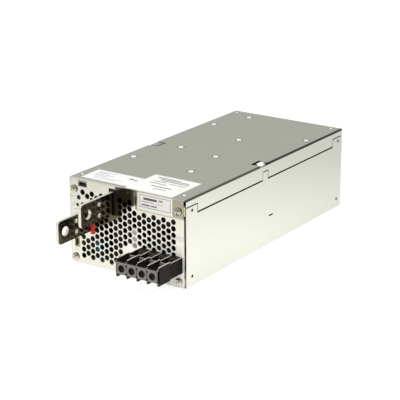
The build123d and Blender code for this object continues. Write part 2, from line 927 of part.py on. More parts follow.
def board_points():
    """Fixing points of the main board."""
    middle = (board_hole_front + board_hole_rear) / 2
    rows = (board_hole_front, middle, board_hole_rear)
    return [(x, y) for x in (-board_holes_x, board_holes_x) for y in rows]


def main_board():
    """Main circuit board with its fixing holes."""
    board = area(-board_half, board_half, board_front_y, board_rear_y)
    for x, y in board_points():
        board -= Pos(x, y) * prism(board_screw_radius, shank_sides)
    return along_z(board, board_low, board_top)


def board_standoffs():
    """Clinched hexagon standoffs between the chassis floor and the main board."""
    group = Part()
    for x, y in board_points():
        bore = prism(board_screw_radius, shank_sides)
        standoff = along_z(prism(standoff_radius, 6), chassis_sheet, board_low)
        standoff -= along_z(bore, board_low - board_screw_length + board_thickness, board_low)
        group += Pos(x, y) * standoff
    return group


def board_screws():
    """Screws that hold the main board down on its standoffs."""
    group = Part()
    for x, y in board_points():
        low = board_top - board_screw_length
        screw = along_z(prism(board_screw_radius, shank_sides), low, board_top)
        head_z = board_top + board_screw_head_height
        screw += along_z(prism(board_screw_head, shank_sides), board_top, head_z)
        group += Pos(x, y) * screw
    return group


def insulating_film():
    """Insulating film on the chassis floor between the two rows of standoffs."""
    half = board_holes_x - standoff_radius - film_margin
    top = chassis_sheet + film_thickness
    return block(-half, half, panel_back + film_margin, fan_front_y, chassis_sheet, top)


def fan_frame(x):
    """Square fan frame with a round duct, motor mount, struts and bearing tube."""
    square = Rectangle(fan_size, fan_size)
    square = chamfer(square.vertices(), fan_corner) - prism(duct_radius, duct_sides)
    half = fan_hole_spacing / 2
    for d in (-half, half):
        square -= Pos(d, d) * prism(fan_hole_radius, shank_sides)
    body = along_y(square, fan_front_y, rear_panel_front)
    mount_y = rear_panel_front - motor_mount_depth
    struts = prism(motor_mount_radius, mount_sides)
    for angle in (20, 110):
        struts += Rot(0, 0, angle) * Rectangle(2 * duct_radius + 1, strut_width)
    body += along_y(struts, mount_y, rear_panel_front)
    body += along_y(prism(bearing_radius, 8), mount_y - bearing_length, mount_y)
    bore_y = rear_panel_front - 1.0
    bore = round_bore(shaft_radius + shaft_play, pin_sides)
    body -= along_y(bore, mount_y - bearing_length - 1, bore_y)
    return Pos(x, 0, fan_z) * body


def fan_blade(root, tip):
    """One cambered blade standing out of the hub along +X."""
    half = blade_chord / 2
    camber = blade_chord * blade_camber
    t = blade_thickness / 2
    lower = [(-half, -camber - t), (0, camber - t), (half, -camber - t)]
    upper = [(half, -camber + t), (0, camber + t), (-half, -camber + t)]
    outline = make_face(Polyline(*lower, *upper, close=True))
    return along_x(Rot(0, 0, blade_pitch) * outline, root, tip)


def fan_rotor(x):
    """Fan rotor: cup-shaped hub, shaft and cambered blades."""
    front = fan_front_y + hub_front_gap
    rear = rear_panel_front - motor_mount_depth - hub_rear_gap
    hub = along_y(prism(hub_radius, hub_sides), front, rear)
    hub -= along_y(prism(hub_radius - hub_wall, hub_sides), front + hub_wall, rear)
    bearing_front = rear_panel_front - motor_mount_depth - bearing_length
    hub += along_y(prism(bearing_radius, 8), front, bearing_front - 0.5)
    hub += along_y(prism(shaft_radius, pin_sides), front, rear)
    middle = (front + rear) / 2
    tip = duct_radius * math.cos(math.pi / duct_sides) - blade_tip_gap
    blade = Pos(0, middle, 0) * fan_blade(hub_radius - hub_wall, math.sqrt(tip**2 - blade_chord**2 / 4))
    for i in range(blade_count):
        hub += Rot(0, 360 / blade_count * i, 0) * blade
    return Pos(x, 0, fan_z) * hub


def fan_screws():
    """Self-tapping screws that hold both fans to the rear panel."""
    group = Part()
    for x, z in fan_hole_points():
        screw = along_y(prism(fan_screw_radius, shank_sides), rear_y - fan_screw_length, rear_y)
        screw += along_y(prism(fan_screw_head, shank_sides), rear_y, rear_y + fan_screw_head_height)
        group += Pos(x, 0, z) * screw
    return group


def signal_board():
    """Upright board at the left behind the panel, standing on the main board."""
    y1 = signal_board_y + board_thickness
    left = panel_left + signal_board_left
    top = panel_top - signal_board_drop
    plate = area(left, left + signal_board_width, board_top, top)
    plate += area(left, signal_window[1], lamp_z + signal_board_wide_gap, top)
    return along_y(plate, signal_board_y, y1)


def window_socket(window):
    """Header housing with two rows of pins that fills one window of the panel."""
    x0, x1, z0, z1 = window
    x0 += signal_play
    x1 -= signal_play
    z0 += signal_play
    z1 -= signal_play
    front = panel_front + window_recess
    body = block(x0, x1, front, signal_board_y, z0, z1)
    wall = socket_wall
    body -= block(x0 + wall, x1 - wall, front - 1, signal_board_y - socket_floor, z0 + wall, z1 - wall)
    along = max(x1 - x0, z1 - z0) - 2 * wall
    count = int(along / pin_pitch)
    for i in range(count):
        shift = (i - (count - 1) / 2) * pin_pitch
        upright = z1 - z0 > x1 - x0
        x = (x0 + x1) / 2 + (0 if upright else shift)
        z = (z0 + z1) / 2 + (shift if upright else 0)
        half = pin_size / 2
        body += block(x - half, x + half, front + pin_recess, signal_board_y, z - half, z + half)
    return body


def trimmer_body():
    """Square body of the output voltage trimmer."""
    half = trimmer_size / 2
    front = panel_back + trimmer_front_gap
    body = along_y(area(-half, half, -half, half), front, signal_board_y)
    body -= along_y(round_bore(rotor_radius + rotor_play, rotor_sides), front, front + rotor_depth)
    return Pos(trimmer_x, 0, trimmer_z) * body


def trimmer_rotor():
    """Slotted rotor that a screwdriver turns through the round panel hole."""
    front = panel_back + trimmer_front_gap
    rotor = along_y(prism(rotor_radius, rotor_sides), front - rotor_proud, front + rotor_depth)
    slot = area(-rotor_radius, rotor_radius, -rotor_slot / 2, rotor_slot / 2)
    rotor -= along_y(slot, front - rotor_proud, front - rotor_proud + rotor_slot)
    return Pos(trimmer_x, 0, trimmer_z) * rotor


def status_lamp():
    """Small round lamp whose dome stands in its panel hole."""
    collar_y = signal_board_y - lamp_collar_height
    lamp = along_y(prism(lamp_collar, 8), collar_y, signal_board_y)
    lamp += along_y(prism(lamp_radius, 8), lamp_tip_y + lamp_radius, collar_y)
    dome_y = lamp_tip_y + lamp_radius
    lamp += along_y(prism(lamp_radius * 0.8, 8), dome_y - lamp_radius * 0.6, dome_y)
    return Pos(lamp_x, 0, lamp_z) * lamp


def filter_shield():
    """Bright angle plate that screens the line filter from the output side."""
    x1 = shield_x + shield_thickness
    plate = block(shield_x, x1, shield_front, shield_rear, board_top, board_top + shield_height)
    foot_z = board_top + shield_thickness
    return plate + block(shield_x, shield_x + shield_foot, shield_front, shield_rear, board_top, foot_z)


def ring_core(outer, inner, depth):
    """Toroid core standing upright, its axis along Y."""
    return along_y(prism(outer, toroid_sides) - prism(inner, toroid_sides), -depth / 2, depth / 2)


def ring_turns(outer, inner, depth, angles):
    """Turns of flat wire round a toroid core, one loop for each angle."""
    core = block(inner * 0.95, outer * 1.01, -depth / 2, depth / 2, -choke_wire, choke_wire)
    half = half_turn
    low = inner * 0.95 - choke_wire
    face = depth / 2 + choke_wire
    loop = block(low, outer + choke_wire, -face, face, -half, half) - core
    turns = Part()
    for angle in angles:
        turns += Rot(0, angle, 0) * loop
    return turns


def line_choke_angles():
    """Two windings on opposite halves of the line choke."""
    step = line_choke_spread / (line_choke_turns - 1)
    first = [step * i - line_choke_spread / 2 for i in range(line_choke_turns)]
    return first + [angle + 180 for angle in first]


def line_choke_place():
    """Centre of the line choke above its carrier."""
    return Pos(line_choke_x, line_choke_y, board_top + choke_lift + line_choke_outer)


def pfc_choke_place():
    """Centre of the power factor choke above its carrier."""
    return Pos(pfc_choke_x, pfc_choke_y, board_top + choke_lift + pfc_choke_outer)


def line_choke_core():
    """Ferrite ring of the line choke."""
    return line_choke_place() * ring_core(line_choke_outer, line_choke_inner, line_choke_depth)


def line_choke_winding():
    """Both windings of the line choke."""
    turns = ring_turns(line_choke_outer, line_choke_inner, line_choke_depth, line_choke_angles())
    return line_choke_place() * turns


def pfc_choke_core():
    """Powder core ring of the power factor choke."""
    return pfc_choke_place() * ring_core(pfc_choke_outer, pfc_choke_inner, pfc_choke_depth)


def pfc_choke_winding():
    """Single layer winding of the power factor choke."""
    angles = [360 / pfc_choke_turns * (i + 0.5) for i in range(pfc_choke_turns)]
    return pfc_choke_place() * ring_turns(pfc_choke_outer, pfc_choke_inner, pfc_choke_depth, angles)


def choke_carrier(x, y):
    """Plastic foot on the board under an upright choke."""
    top = board_top + choke_lift - choke_wire
    half = carrier_width / 2
    depth = carrier_depth / 2
    return block(x - half, x + half, y - depth, y + depth, board_top, top)


def choke_carriers():
    """Feet of both ring chokes: the line choke core rests on a rib between its two windings."""
    feet = choke_carrier(line_choke_x, line_choke_y) + choke_carrier(pfc_choke_x, pfc_choke_y)
    x0 = line_choke_x - carrier_rib / 2
    y0 = line_choke_y - carrier_depth / 2
    low = board_top + choke_lift - choke_wire
    return feet + block(x0, x0 + carrier_rib, y0, y0 + carrier_depth, low, board_top + choke_lift)


def film_capacitors():
    """Boxed film capacitors of the line filter."""
    group = Part()
    x1 = film_capacitor_width / 2
    y1 = film_capacitor_length / 2
    for x, y in film_capacitor_shares:
        box = block(-x1, x1, -y1, y1, board_top, board_top + film_capacitor_height)
        box = chamfer(box.edges().filter_by(Axis.Z), 1.0)
        group += Pos(x * inner_width, y * case_depth, 0) * box
    return group


def line_fuse():
    """Ceramic line fuse tube with its end caps."""
    z = board_top + fuse_lift + fuse_radius
    tube = along_y(prism(fuse_radius, can_sides), -fuse_length / 2, fuse_length / 2)
    group = tube
    for side in (-1, 1):
        ends = sorted((side * (fuse_length / 2 - fuse_cap), side * (fuse_length / 2 + 0.4)))
        group += along_y(prism(fuse_radius + 0.3, can_sides), ends[0], ends[1])
    return Pos(fuse_x, fuse_y, z) * group


def fuse_clips():
    """Two spring clips that hold the fuse above the board."""
    clips = Part()
    grip = fuse_radius + 0.3
    for side in (-1, 1):
        middle = fuse_y + side * (fuse_length / 2 - fuse_cap / 2)
        z = board_top + fuse_lift + fuse_radius
        clip = area(-grip - 0.7, grip + 0.7, board_top, z) - Pos(0, z) * prism(grip, can_sides)
        clips += Pos(fuse_x, 0, 0) * along_y(clip, middle - 1.6, middle + 1.6)
    return clips


def inrush_relay():
    """Boxed relay that bridges the inrush limiter."""
    x1 = relay_width / 2
    y1 = relay_length / 2
    box = block(-x1, x1, -y1, y1, board_top, board_top + relay_height)
    return Pos(relay_x, relay_y, 0) * chamfer(box.edges().filter_by(Axis.Z), 0.8)


def bulk_capacitors():
    """Large electrolytic cans of the primary side."""
    can = along_z(prism(bulk_radius, bulk_sides), board_top, board_top + bulk_height)
    group = Part()
    for share in bulk_shares:
        group += Pos(bulk_x, share * case_depth, 0) * can
    return group


def primary_heatsink():
    """Extruded finned heatsink between the primary and the bulk capacitors."""
    low = board_top
    high = board_top + primary_sink_height
    profile = area(primary_sink_x, primary_sink_x + sink_base, low, high)
    step = (primary_sink_height - sink_fin) / (sink_fin_count - 1)
    for i in range(sink_fin_count):
        z = low + step * i
        profile += area(primary_sink_x, primary_sink_x + primary_sink_depth, z, z + sink_fin)
    return along_y(profile, primary_sink_front, primary_sink_rear)


def package(size, y):
    """Power package lying flat against the left side of the primary heatsink, with its leads."""
    depth, width, height = size
    low = board_top + package_lift
    body = block(primary_sink_x - depth, primary_sink_x, y - width / 2, y + width / 2, low, low + height)
    for i in (-1, 1):
        middle = y + i * lead_pitch
        half = lead_size / 2
        x1 = primary_sink_x - depth / 2
        body += block(x1 - lead_size, x1, middle - half, middle + half, board_top, low)
    return body


def power_transistors():
    """Switching transistors and diodes on the primary heatsink."""
    group = Part()
    for share in package_shares:
        group += package(package_size, share * case_depth)
    return group


def bridge_rectifier():
    """Flat bridge rectifier clamped to the rear end of the primary heatsink."""
    return package(bridge_size, bridge_y)


def shell_core(size, window, leg):
    """Two-window ferrite core, its limbs joined at both ends along X."""
    width, length, height = size
    core = block(-width / 2, width / 2, -length / 4, length / 4, 0, height)
    half_window = window / 2
    inner = leg / 2
    for side in (-1, 1):
        edges = sorted((side * inner, side * (width / 2 - leg * side_limb_share)))
        low = height / 2 - half_window
        core -= block(edges[0], edges[1], -length, length, low, low + window)
    return core


def shell_coil(size, window, leg):
    """Bobbin and coil round the middle limb of a shell core."""
    width, length, height = size
    outer_x = width / 2 - leg * side_limb_share - coil_play
    low = height / 2 - window / 2 + coil_play
    high = height / 2 + window / 2 - coil_play
    half_y = length / 4 + coil_overhang
    coil = block(-outer_x, outer_x, -half_y, half_y, low, high)
    coil = chamfer(coil.edges().filter_by(Axis.Z), coil_chamfer)
    rim_y = half_y + bobbin_rim
    coil += block(-outer_x, outer_x, -rim_y, rim_y, low, low + bobbin_flange)
    coil += block(-outer_x, outer_x, -rim_y, rim_y, high - bobbin_flange, high)
    return coil - block(-leg / 2, leg / 2, -length / 4, length / 4, low - 1, high + 1)


def transformer_place():
    """Foot of the main transformer on the board."""
    return Pos(transformer_x, transformer_y, board_top)


def main_transformer_core():
    """Ferrite core of the main transformer."""
    return transformer_place() * shell_core(transformer_size, transformer_window, transformer_leg)


def main_transformer_coil():
    """Coil of the main transformer."""
    return transformer_place() * shell_coil(transformer_size, transformer_window, transformer_leg)


def output_choke_core():
    """Ferrite core of the output choke."""
    place = Pos(output_choke_x, output_choke_y, board_top)
    return place * shell_core(output_choke_size, output_choke_window, output_choke_leg)


def output_choke_coil():
    """Coil of the output choke."""
    place = Pos(output_choke_x, output_choke_y, board_top)
    return place * shell_coil(output_choke_size, output_choke_window, output_choke_leg)


def output_heatsink():
    """Finned heatsink of the output rectifiers, across the air stream."""
    width, depth, height = output_sink_size
    profile = area(-width / 2, width / 2, 0, sink_base)
    step = (width - sink_fin) / (output_fin_count - 1)
    for i in range(output_fin_count):
        x = -width / 2 + step * i
        profile += area(x, x + sink_fin, 0, depth)
    place = Pos(output_sink_x, output_sink_y, 0)
    return place * along_z(profile, board_top, board_top + height)


def output_rectifiers():
    """Rectifier packages on the front side of the output heatsink."""
    depth, width, height = package_size
    group = Part()
    low = board_top + package_lift
    for row in (-1, 0, 1):
        x = output_sink_x + row * output_package_pitch
        y1 = output_sink_y
        body = block(x - width / 2, x + width / 2, y1 - depth, y1, low, low + height)
        for i in (-1, 1):
            middle = x + i * lead_pitch
            half = lead_size / 2
            y = y1 - depth / 2
            body += block(middle - half, middle + half, y - half, y + half, board_top, low)
        group += body
    return group


def output_capacitors():
    """Output smoothing capacitors between the bars and the output choke."""
    can = along_z(prism(output_can_radius, can_sides), board_top, board_top + output_can_height)
    group = Part()
    for x in output_can_shares_x:
        for y in output_can_shares_y:
            group += Pos(x * inner_width, y * case_depth, 0) * can
    return group


def control_board():
    """Upright control board along the left wall."""
    x1 = control_board_x + board_thickness
    top = board_top + control_board_height
    return block(control_board_x, x1, control_board_front, control_board_rear, board_top, top)


def control_chips():
    """Integrated circuits on the inner face of the control board."""
    x0 = control_board_x + board_thickness
    group = Part()
    for share, z, length in control_chip_spots:
        y = share * case_depth
        group += block(x0, x0 + chip_depth, y - length / 2, y + length / 2, z, z + chip_height)
    return group


def top_label(spot):
    """Thin rating label stuck on the cover."""
    x0, x1, y0, y1 = spot
    return block(x0, x1, front_y + y0, front_y + y1, case_height, case_height + label_thickness)


def front_label_plate():
    """Thin label stuck on the front flap."""
    x0 = flap_left + front_label_left
    x1 = flap_right - front_label_right
    z1 = case_height - front_label_drop
    return block(x0, x1, front_y - label_thickness, front_y, z1 - front_label_height, z1)


sub_parts = {
    "chassis": chassis(),
    "top_cover": top_cover(),
    "front_panel": front_panel(),
    "rear_panel": rear_panel(),
    "panel_screws": panel_screws(),
    "cover_studs": cover_studs(),
    "cover_screws": cover_screws(),
    "lifting_catches": lifting_catches(),
    "busbar_positive": busbar(positive_bar_x, positive_bar_z),
    "busbar_negative": busbar(negative_bar_x, negative_bar_z),
    "bushing_positive": flanged_bushing(positive_bar_x, positive_bar_z),
    "bushing_negative": bar_bushing(negative_bar_x, negative_bar_z),
    "busbar_support": busbar_support(),
    "terminal_base": terminal_base(),
    "terminal_plates": terminal_plates(),
    "terminal_screws": terminal_screws(),
    "terminal_cover": terminal_cover(),
    "insulating_film": insulating_film(),
    "board_standoffs": board_standoffs(),
    "main_board": main_board(),
    "board_screws": board_screws(),
    "signal_board": signal_board(),
    "signal_connector": window_socket(signal_window),
    "remote_connector": window_socket(remote_window),
    "trimmer_body": trimmer_body(),
    "trimmer_rotor": trimmer_rotor(),
    "status_lamp": status_lamp(),
    "filter_shield": filter_shield(),
    "line_choke_core": line_choke_core(),
    "line_choke_winding": line_choke_winding(),
    "choke_carriers": choke_carriers(),
    "film_capacitors": film_capacitors(),
    "line_fuse": line_fuse(),
    "fuse_clips": fuse_clips(),
    "inrush_relay": inrush_relay(),
    "pfc_choke_core": pfc_choke_core(),
    "pfc_choke_winding": pfc_choke_winding(),
    "bulk_capacitors": bulk_capacitors(),
    "primary_heatsink": primary_heatsink(),
    "power_transistors": power_transistors(),
    "bridge_rectifier": bridge_rectifier(),
    "main_transformer_core": main_transformer_core(),
    "main_transformer_coil": main_transformer_coil(),
    "output_choke_core": output_choke_core(),
    "output_choke_coil": output_choke_coil(),
    "output_heatsink": output_heatsink(),
    "output_rectifiers": output_rectifiers(),
    "output_capacitors": output_capacitors(),
    "control_board": control_board(),
    "control_chips": control_chips(),
    "fan_frame_left": fan_frame(-fan_x),
    "fan_frame_right": fan_frame(fan_x),
    "fan_rotor_left": fan_rotor(-fan_x),
    "fan_rotor_right": fan_rotor(fan_x),
    "fan_screws": fan_screws(),
    "top_label_left": top_label(top_label_a),
    "top_label_right": top_label(top_label_b),
    "front_label": front_label_plate(),
}

for node, shape in sub_parts.items():
    save(shape, node)
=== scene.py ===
import math
import random

import bmesh
import bpy
from mathutils import Matrix, Vector


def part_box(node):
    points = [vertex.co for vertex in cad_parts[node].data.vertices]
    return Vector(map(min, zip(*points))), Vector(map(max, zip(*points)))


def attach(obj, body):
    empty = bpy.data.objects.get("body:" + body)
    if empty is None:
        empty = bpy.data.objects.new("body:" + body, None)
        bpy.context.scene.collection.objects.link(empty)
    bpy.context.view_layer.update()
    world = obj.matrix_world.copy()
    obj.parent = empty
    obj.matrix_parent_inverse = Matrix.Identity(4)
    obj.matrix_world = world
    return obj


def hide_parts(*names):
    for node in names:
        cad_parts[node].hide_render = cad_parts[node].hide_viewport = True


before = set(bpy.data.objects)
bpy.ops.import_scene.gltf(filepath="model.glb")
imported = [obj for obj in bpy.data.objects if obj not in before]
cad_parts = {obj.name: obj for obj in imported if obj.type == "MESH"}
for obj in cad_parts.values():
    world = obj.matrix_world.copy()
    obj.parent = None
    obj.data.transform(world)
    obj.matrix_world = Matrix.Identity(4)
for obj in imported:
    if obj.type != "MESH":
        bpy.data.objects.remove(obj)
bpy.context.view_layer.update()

# Camera: it stands to the right of the front panel and looks down on the cover.
# Its lens and place come from the corners of the case, so it sees the supply as the photographer did.
bpy.context.scene.view_settings.view_transform = "Standard"
camera_place = Vector((0.731689, -1.106859, 0.474526))
camera_target = Vector((-0.015013, 0.0, 0.029615))
camera_data = bpy.data.cameras.new("camera")
camera_data.lens = 129.48
camera_data.sensor_width = 36.0
camera = bpy.data.objects.new("camera", camera_data)
bpy.context.scene.collection.objects.link(camera)
camera.location = camera_place
camera.rotation_euler = (camera_target - camera_place).to_track_quat("-Z", "Y").to_euler()
bpy.context.scene.camera = camera


# Floor and light: a white table that keeps the shadow, in a grey studio that is darker to the right.
# The table glows evenly for the eye, and in mirror images it fades away from the supply.
# Two soft boxes light the supply from above and from the front, and leave no mirror image in its sheet.
def link_object(name, data, *materials):
    """Put an object into the scene under its own name, with its materials."""
    obj = bpy.data.objects.new(name, data)
    bpy.context.scene.collection.objects.link(obj)
    for material in materials:
        data.materials.append(material)
    return obj


def new_material(name):
    """A material with an empty Principled shader, and what is needed to wire it."""
    material = bpy.data.materials.new(name)
    material.use_nodes = True
    tree = material.node_tree
    return material, tree, tree.nodes["Principled BSDF"]


def math_node(tree, operation, first, second, clamp=False):
    """A maths node fed by sockets or plain numbers."""
    node = tree.nodes.new("ShaderNodeMath")
    node.operation = operation
    node.use_clamp = clamp
    for socket, value in zip(node.inputs, (first, second)):
        if isinstance(value, (int, float)):
            socket.default_value = value
        else:
            tree.links.new(value, socket)
    return node.outputs[0]


def axis_parts(tree, vector):
    """The parts of a vector along X, Y and Z."""
    node = tree.nodes.new("ShaderNodeSeparateXYZ")
    tree.links.new(vector, node.inputs[0])
    return node.outputs


def ramp_node(tree, value, start, end, low=0.0, high=1.0):
    """A number that runs from low to high while the value runs from start to end."""
    node = tree.nodes.new("ShaderNodeMapRange")
    for key, number in (("From Min", start), ("From Max", end), ("To Min", low), ("To Max", high)):
        node.inputs[key].default_value = number
    tree.links.new(value, node.inputs["Value"])
    return node.outputs[0]


table_half = 4.0
table_signs = ((-1, -1), (1, -1), (1, 1), (-1, 1))
table_corners = [(x * table_half, y * table_half, 0.0) for x, y in table_signs]
table_mesh = bpy.data.meshes.new("table_top")
table_mesh.from_pydata(table_corners, [], [(0, 1, 2, 3)])

table_material, tree, shader = new_material("white_table")
shader.inputs["Base Color"].default_value = (0.93, 0.93, 0.93, 1.0)
shader.inputs["Roughness"].default_value = 0.9
shader.inputs["Specular IOR Level"].default_value = 0.0
light_path = tree.nodes.new("ShaderNodeLightPath").outputs
seen = math_node(tree, "ADD", light_path["Is Camera Ray"], light_path["Is Transmission Ray"], True)
mirrored = math_node(tree, "ADD", seen, light_path["Is Glossy Ray"], True)
glow_share = math_node(tree, "MULTIPLY", mirrored, 0.75)
from_supply = tree.nodes.new("ShaderNodeVectorMath")
from_supply.operation = "DISTANCE"
from_supply.inputs[1].default_value = (0.03, -0.08, 0.0)
tree.links.new(tree.nodes.new("ShaderNodeTexCoord").outputs["Object"], from_supply.inputs[0])
glow_level = tree.nodes.new("ShaderNodeMix")
tree.links.new(seen, glow_level.inputs["Factor"])
fading = ramp_node(tree, from_supply.outputs["Value"], 0.10, 0.40, 1.14, 0.62)
tree.links.new(fading, glow_level.inputs["A"])
glow_level.inputs["B"].default_value = 1.12
glow = tree.nodes.new("ShaderNodeEmission")
glow.inputs["Color"].default_value = (1.0, 1.0, 1.0, 1.0)
tree.links.new(glow_level.outputs["Result"], glow.inputs["Strength"])
table_mix = tree.nodes.new("ShaderNodeMixShader")
for source, target in zip((glow_share, shader.outputs[0], glow.outputs[0]), table_mix.inputs):
    tree.links.new(source, target)
tree.links.new(table_mix.outputs[0], tree.nodes["Material Output"].inputs["Surface"])
table_top = link_object("table_top", table_mesh, table_material)

studio = bpy.data.worlds.new("studio")
bpy.context.scene.world = studio
studio.use_nodes = True
tree = studio.node_tree
direction = axis_parts(tree, tree.nodes.new("ShaderNodeTexCoord").outputs["Generated"])
studio_ramp = tree.nodes.new("ShaderNodeValToRGB")
studio_ramp.color_ramp.elements[0].color = (0.05, 0.05, 0.045, 1.0)
studio_ramp.color_ramp.elements[1].color = (0.62, 0.62, 0.60, 1.0)
for height, level in ((0.08, 0.07), (0.18, 0.455), (0.45, 0.485)):
    stop = studio_ramp.color_ramp.elements.new(height)
    stop.color = (level, level, level * 0.97, 1.0)
tree.links.new(direction["Z"], studio_ramp.inputs[0])
studio_shade = tree.nodes.new("ShaderNodeVectorMath")
studio_shade.operation = "SCALE"
tree.links.new(studio_ramp.outputs["Color"], studio_shade.inputs[0])
tree.links.new(ramp_node(tree, direction["X"], -0.15, 0.15, 1.0, 0.75), studio_shade.inputs["Scale"])
tree.links.new(studio_shade.outputs[0], tree.nodes["Background"].inputs["Color"])


def soft_box(name, place, target, size, power):
    """A square area lamp that looks at a point of the supply and shows in no mirror image."""
    lamp = bpy.data.lights.new(name, "AREA")
    lamp.shape = "SQUARE"
    lamp.size = size
    lamp.energy = power
    holder = link_object(name, lamp)
    holder.location = place
    holder.rotation_euler = (Vector(target) - Vector(place)).to_track_quat("-Z", "Y").to_euler()
    holder.visible_glossy = False


soft_box("overhead_box", (0.25, -0.45, 1.7), (0.0, -0.05, 0.04), 1.5, 27.0)
soft_box("front_box", (-0.55, -1.5, 0.75), (0.0, -0.1, 0.04), 0.9, 10.0)


# Case sheets: chassis, cover, rear panel and catches of bright plated steel, about 1 mm thick.
# They are sheared, punched and folded, so they carry a fine rolling grain and a few faint marks.
# The open seams and right front edge carry painted shade, and the right top fold a painted dark
# reflection.
MM = 0.001
cover_low, cover_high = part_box("top_cover")
half_width = cover_high.x
case_height = cover_high.z
front_y = cover_low.y
rear_y = cover_high.y


def group_socket(group, name, direction, kind, value=None):
    """One named socket of a node group, with the value it has when nothing is wired to it."""
    socket = group.interface.new_socket(name, in_out=direction, socket_type=kind)
    if value is not None:
        socket.default_value = value


def blend_colour(tree, amount, first, second):
    """A colour between two others, by an amount from nought to one."""
    node = tree.nodes.new("ShaderNodeMix")
    node.data_type = "RGBA"
    for key, value in ((0, amount), (6, first), (7, second)):
        if isinstance(value, (int, float, tuple)):
            node.inputs[key].default_value = value
        else:
            tree.links.new(value, node.inputs[key])
    return node.outputs[2]


def noise_node(tree, place, scale, detail):
    """A noise texture read at a place."""
    node = tree.nodes.new("ShaderNodeTexNoise")
    node.inputs["Detail"].default_value = detail
    tree.links.new(place, node.inputs["Vector"])
    tree.links.new(scale, node.inputs["Scale"])
    return node.outputs["Fac"]


def build_surface_group():
    """Grain and cloudy marks of a made surface: colour, roughness and height that vary over it."""
    group = bpy.data.node_groups.new("surface_grain", "ShaderNodeTree")
    group_socket(group, "Colour", "INPUT", "NodeSocketColor", (0.8, 0.8, 0.8, 1.0))
    group_socket(group, "Stretch", "INPUT", "NodeSocketVector", (1.0, 1.0, 1.0))
    for name, value in (
        ("Grain Scale", 400.0),
        ("Grain Shade", 0.06),
        ("Mark Scale", 25.0),
        ("Mark Shade", 0.08),
        ("Roughness", 0.4),
        ("Roughness Spread", 0.1),
    ):
        group_socket(group, name, "INPUT", "NodeSocketFloat", value)
    group_socket(group, "Colour", "OUTPUT", "NodeSocketColor")
    group_socket(group, "Roughness", "OUTPUT", "NodeSocketFloat")
    group_socket(group, "Height", "OUTPUT", "NodeSocketFloat")
    given = group.nodes.new("NodeGroupInput").outputs
    result = group.nodes.new("NodeGroupOutput").inputs
    place = group.nodes.new("ShaderNodeTexCoord").outputs["Object"]
    stretched = group.nodes.new("ShaderNodeVectorMath")
    stretched.operation = "MULTIPLY"
    group.links.new(place, stretched.inputs[0])
    group.links.new(given["Stretch"], stretched.inputs[1])
    grain = noise_node(group, stretched.outputs[0], given["Grain Scale"], 3.0)
    marks = noise_node(group, place, given["Mark Scale"], 4.0)
    grain_swing = math_node(group, "SUBTRACT", grain, 0.5)
    mark_swing = math_node(group, "SUBTRACT", marks, 0.5)
    grain_shade = math_node(group, "MULTIPLY", grain_swing, given["Grain Shade"])
    mark_shade = math_node(group, "MULTIPLY", mark_swing, given["Mark Shade"])
    shade = math_node(group, "ADD", math_node(group, "ADD", grain_shade, mark_shade), 1.0)
    tint = group.nodes.new("ShaderNodeVectorMath")
    tint.operation = "SCALE"
    group.links.new(given["Colour"], tint.inputs[0])
    group.links.new(shade, tint.inputs["Scale"])
    swing = math_node(group, "ADD", grain_swing, mark_swing)
    change = math_node(group, "MULTIPLY", swing, given["Roughness Spread"])
    group.links.new(tint.outputs[0], result["Colour"])
    group.links.new(math_node(group, "ADD", given["Roughness"], change), result["Roughness"])
    group.links.new(grain, result["Height"])
    return group


surface_grain = build_surface_group()
even = (1.0, 1.0, 1.0)


def finish_material(
    name, colour, grain, marks, roughness, metallic=0.0, bump=0.02, specular=0.5, stretch=even
):
    """A finish with grain and marks, each by scale and shade, and roughness by level and spread."""
    material, tree, shader = new_material(name)
    surface = tree.nodes.new("ShaderNodeGroup")
    surface.node_tree = surface_grain
    surface.inputs["Colour"].default_value = (*colour, 1.0)
    surface.inputs["Stretch"].default_value = stretch
    surface.inputs["Grain Scale"].default_value = grain[0]
    surface.inputs["Grain Shade"].default_value = grain[1]
    surface.inputs["Mark Scale"].default_value = marks[0]
    surface.inputs["Mark Shade"].default_value = marks[1]
    surface.inputs["Roughness"].default_value = roughness[0]
    surface.inputs["Roughness Spread"].default_value = roughness[1]
    tree.links.new(surface.outputs["Colour"], shader.inputs["Base Color"])
    tree.links.new(surface.outputs["Roughness"], shader.inputs["Roughness"])
    shader.inputs["Metallic"].default_value = metallic
    shader.inputs["Specular IOR Level"].default_value = specular
    if bump > 0:
        relief = tree.nodes.new("ShaderNodeBump")
        relief.inputs["Strength"].default_value = bump
        relief.inputs["Distance"].default_value = 0.2 * MM
        tree.links.new(surface.outputs["Height"], relief.inputs["Height"])
        tree.links.new(relief.outputs[0], shader.inputs["Normal"])
    return material


def dress(material, *node_names):
    """Give carried-over CAD nodes their finished material."""
    for node_name in node_names:
        for material_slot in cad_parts[node_name].material_slots:
            material_slot.material = material


def build_spot_group():
    """How strongly a box of the object's own space is painted: its tone inside, nought outside."""
    group = bpy.data.node_groups.new("painted_box", "ShaderNodeTree")
    group_socket(group, "Low", "INPUT", "NodeSocketVector", (-1.0, -1.0, -1.0))
    group_socket(group, "High", "INPUT", "NodeSocketVector", (1.0, 1.0, 1.0))
    group_socket(group, "Tone", "INPUT", "NodeSocketFloat", 1.0)
    group_socket(group, "Amount", "OUTPUT", "NodeSocketFloat")
    given = group.nodes.new("NodeGroupInput").outputs
    result = group.nodes.new("NodeGroupOutput").inputs
    here = axis_parts(group, group.nodes.new("ShaderNodeTexCoord").outputs["Object"])
    amount = given["Tone"]
    for operation, edge in (("GREATER_THAN", "Low"), ("LESS_THAN", "High")):
        limit = axis_parts(group, given[edge])
        for axis in "XYZ":
            passed = math_node(group, operation, here[axis], limit[axis])
            amount = math_node(group, "MULTIPLY", passed, amount)
    group.links.new(amount, result["Amount"])
    return group


painted_box = build_spot_group()


def wired_inputs(material):
    """The node tree of a finished material, its shader's sockets, and what feeds its colour."""
    tree = material.node_tree
    sockets = tree.nodes["Principled BSDF"].inputs
    return tree, sockets, sockets["Base Color"].links[0].from_socket


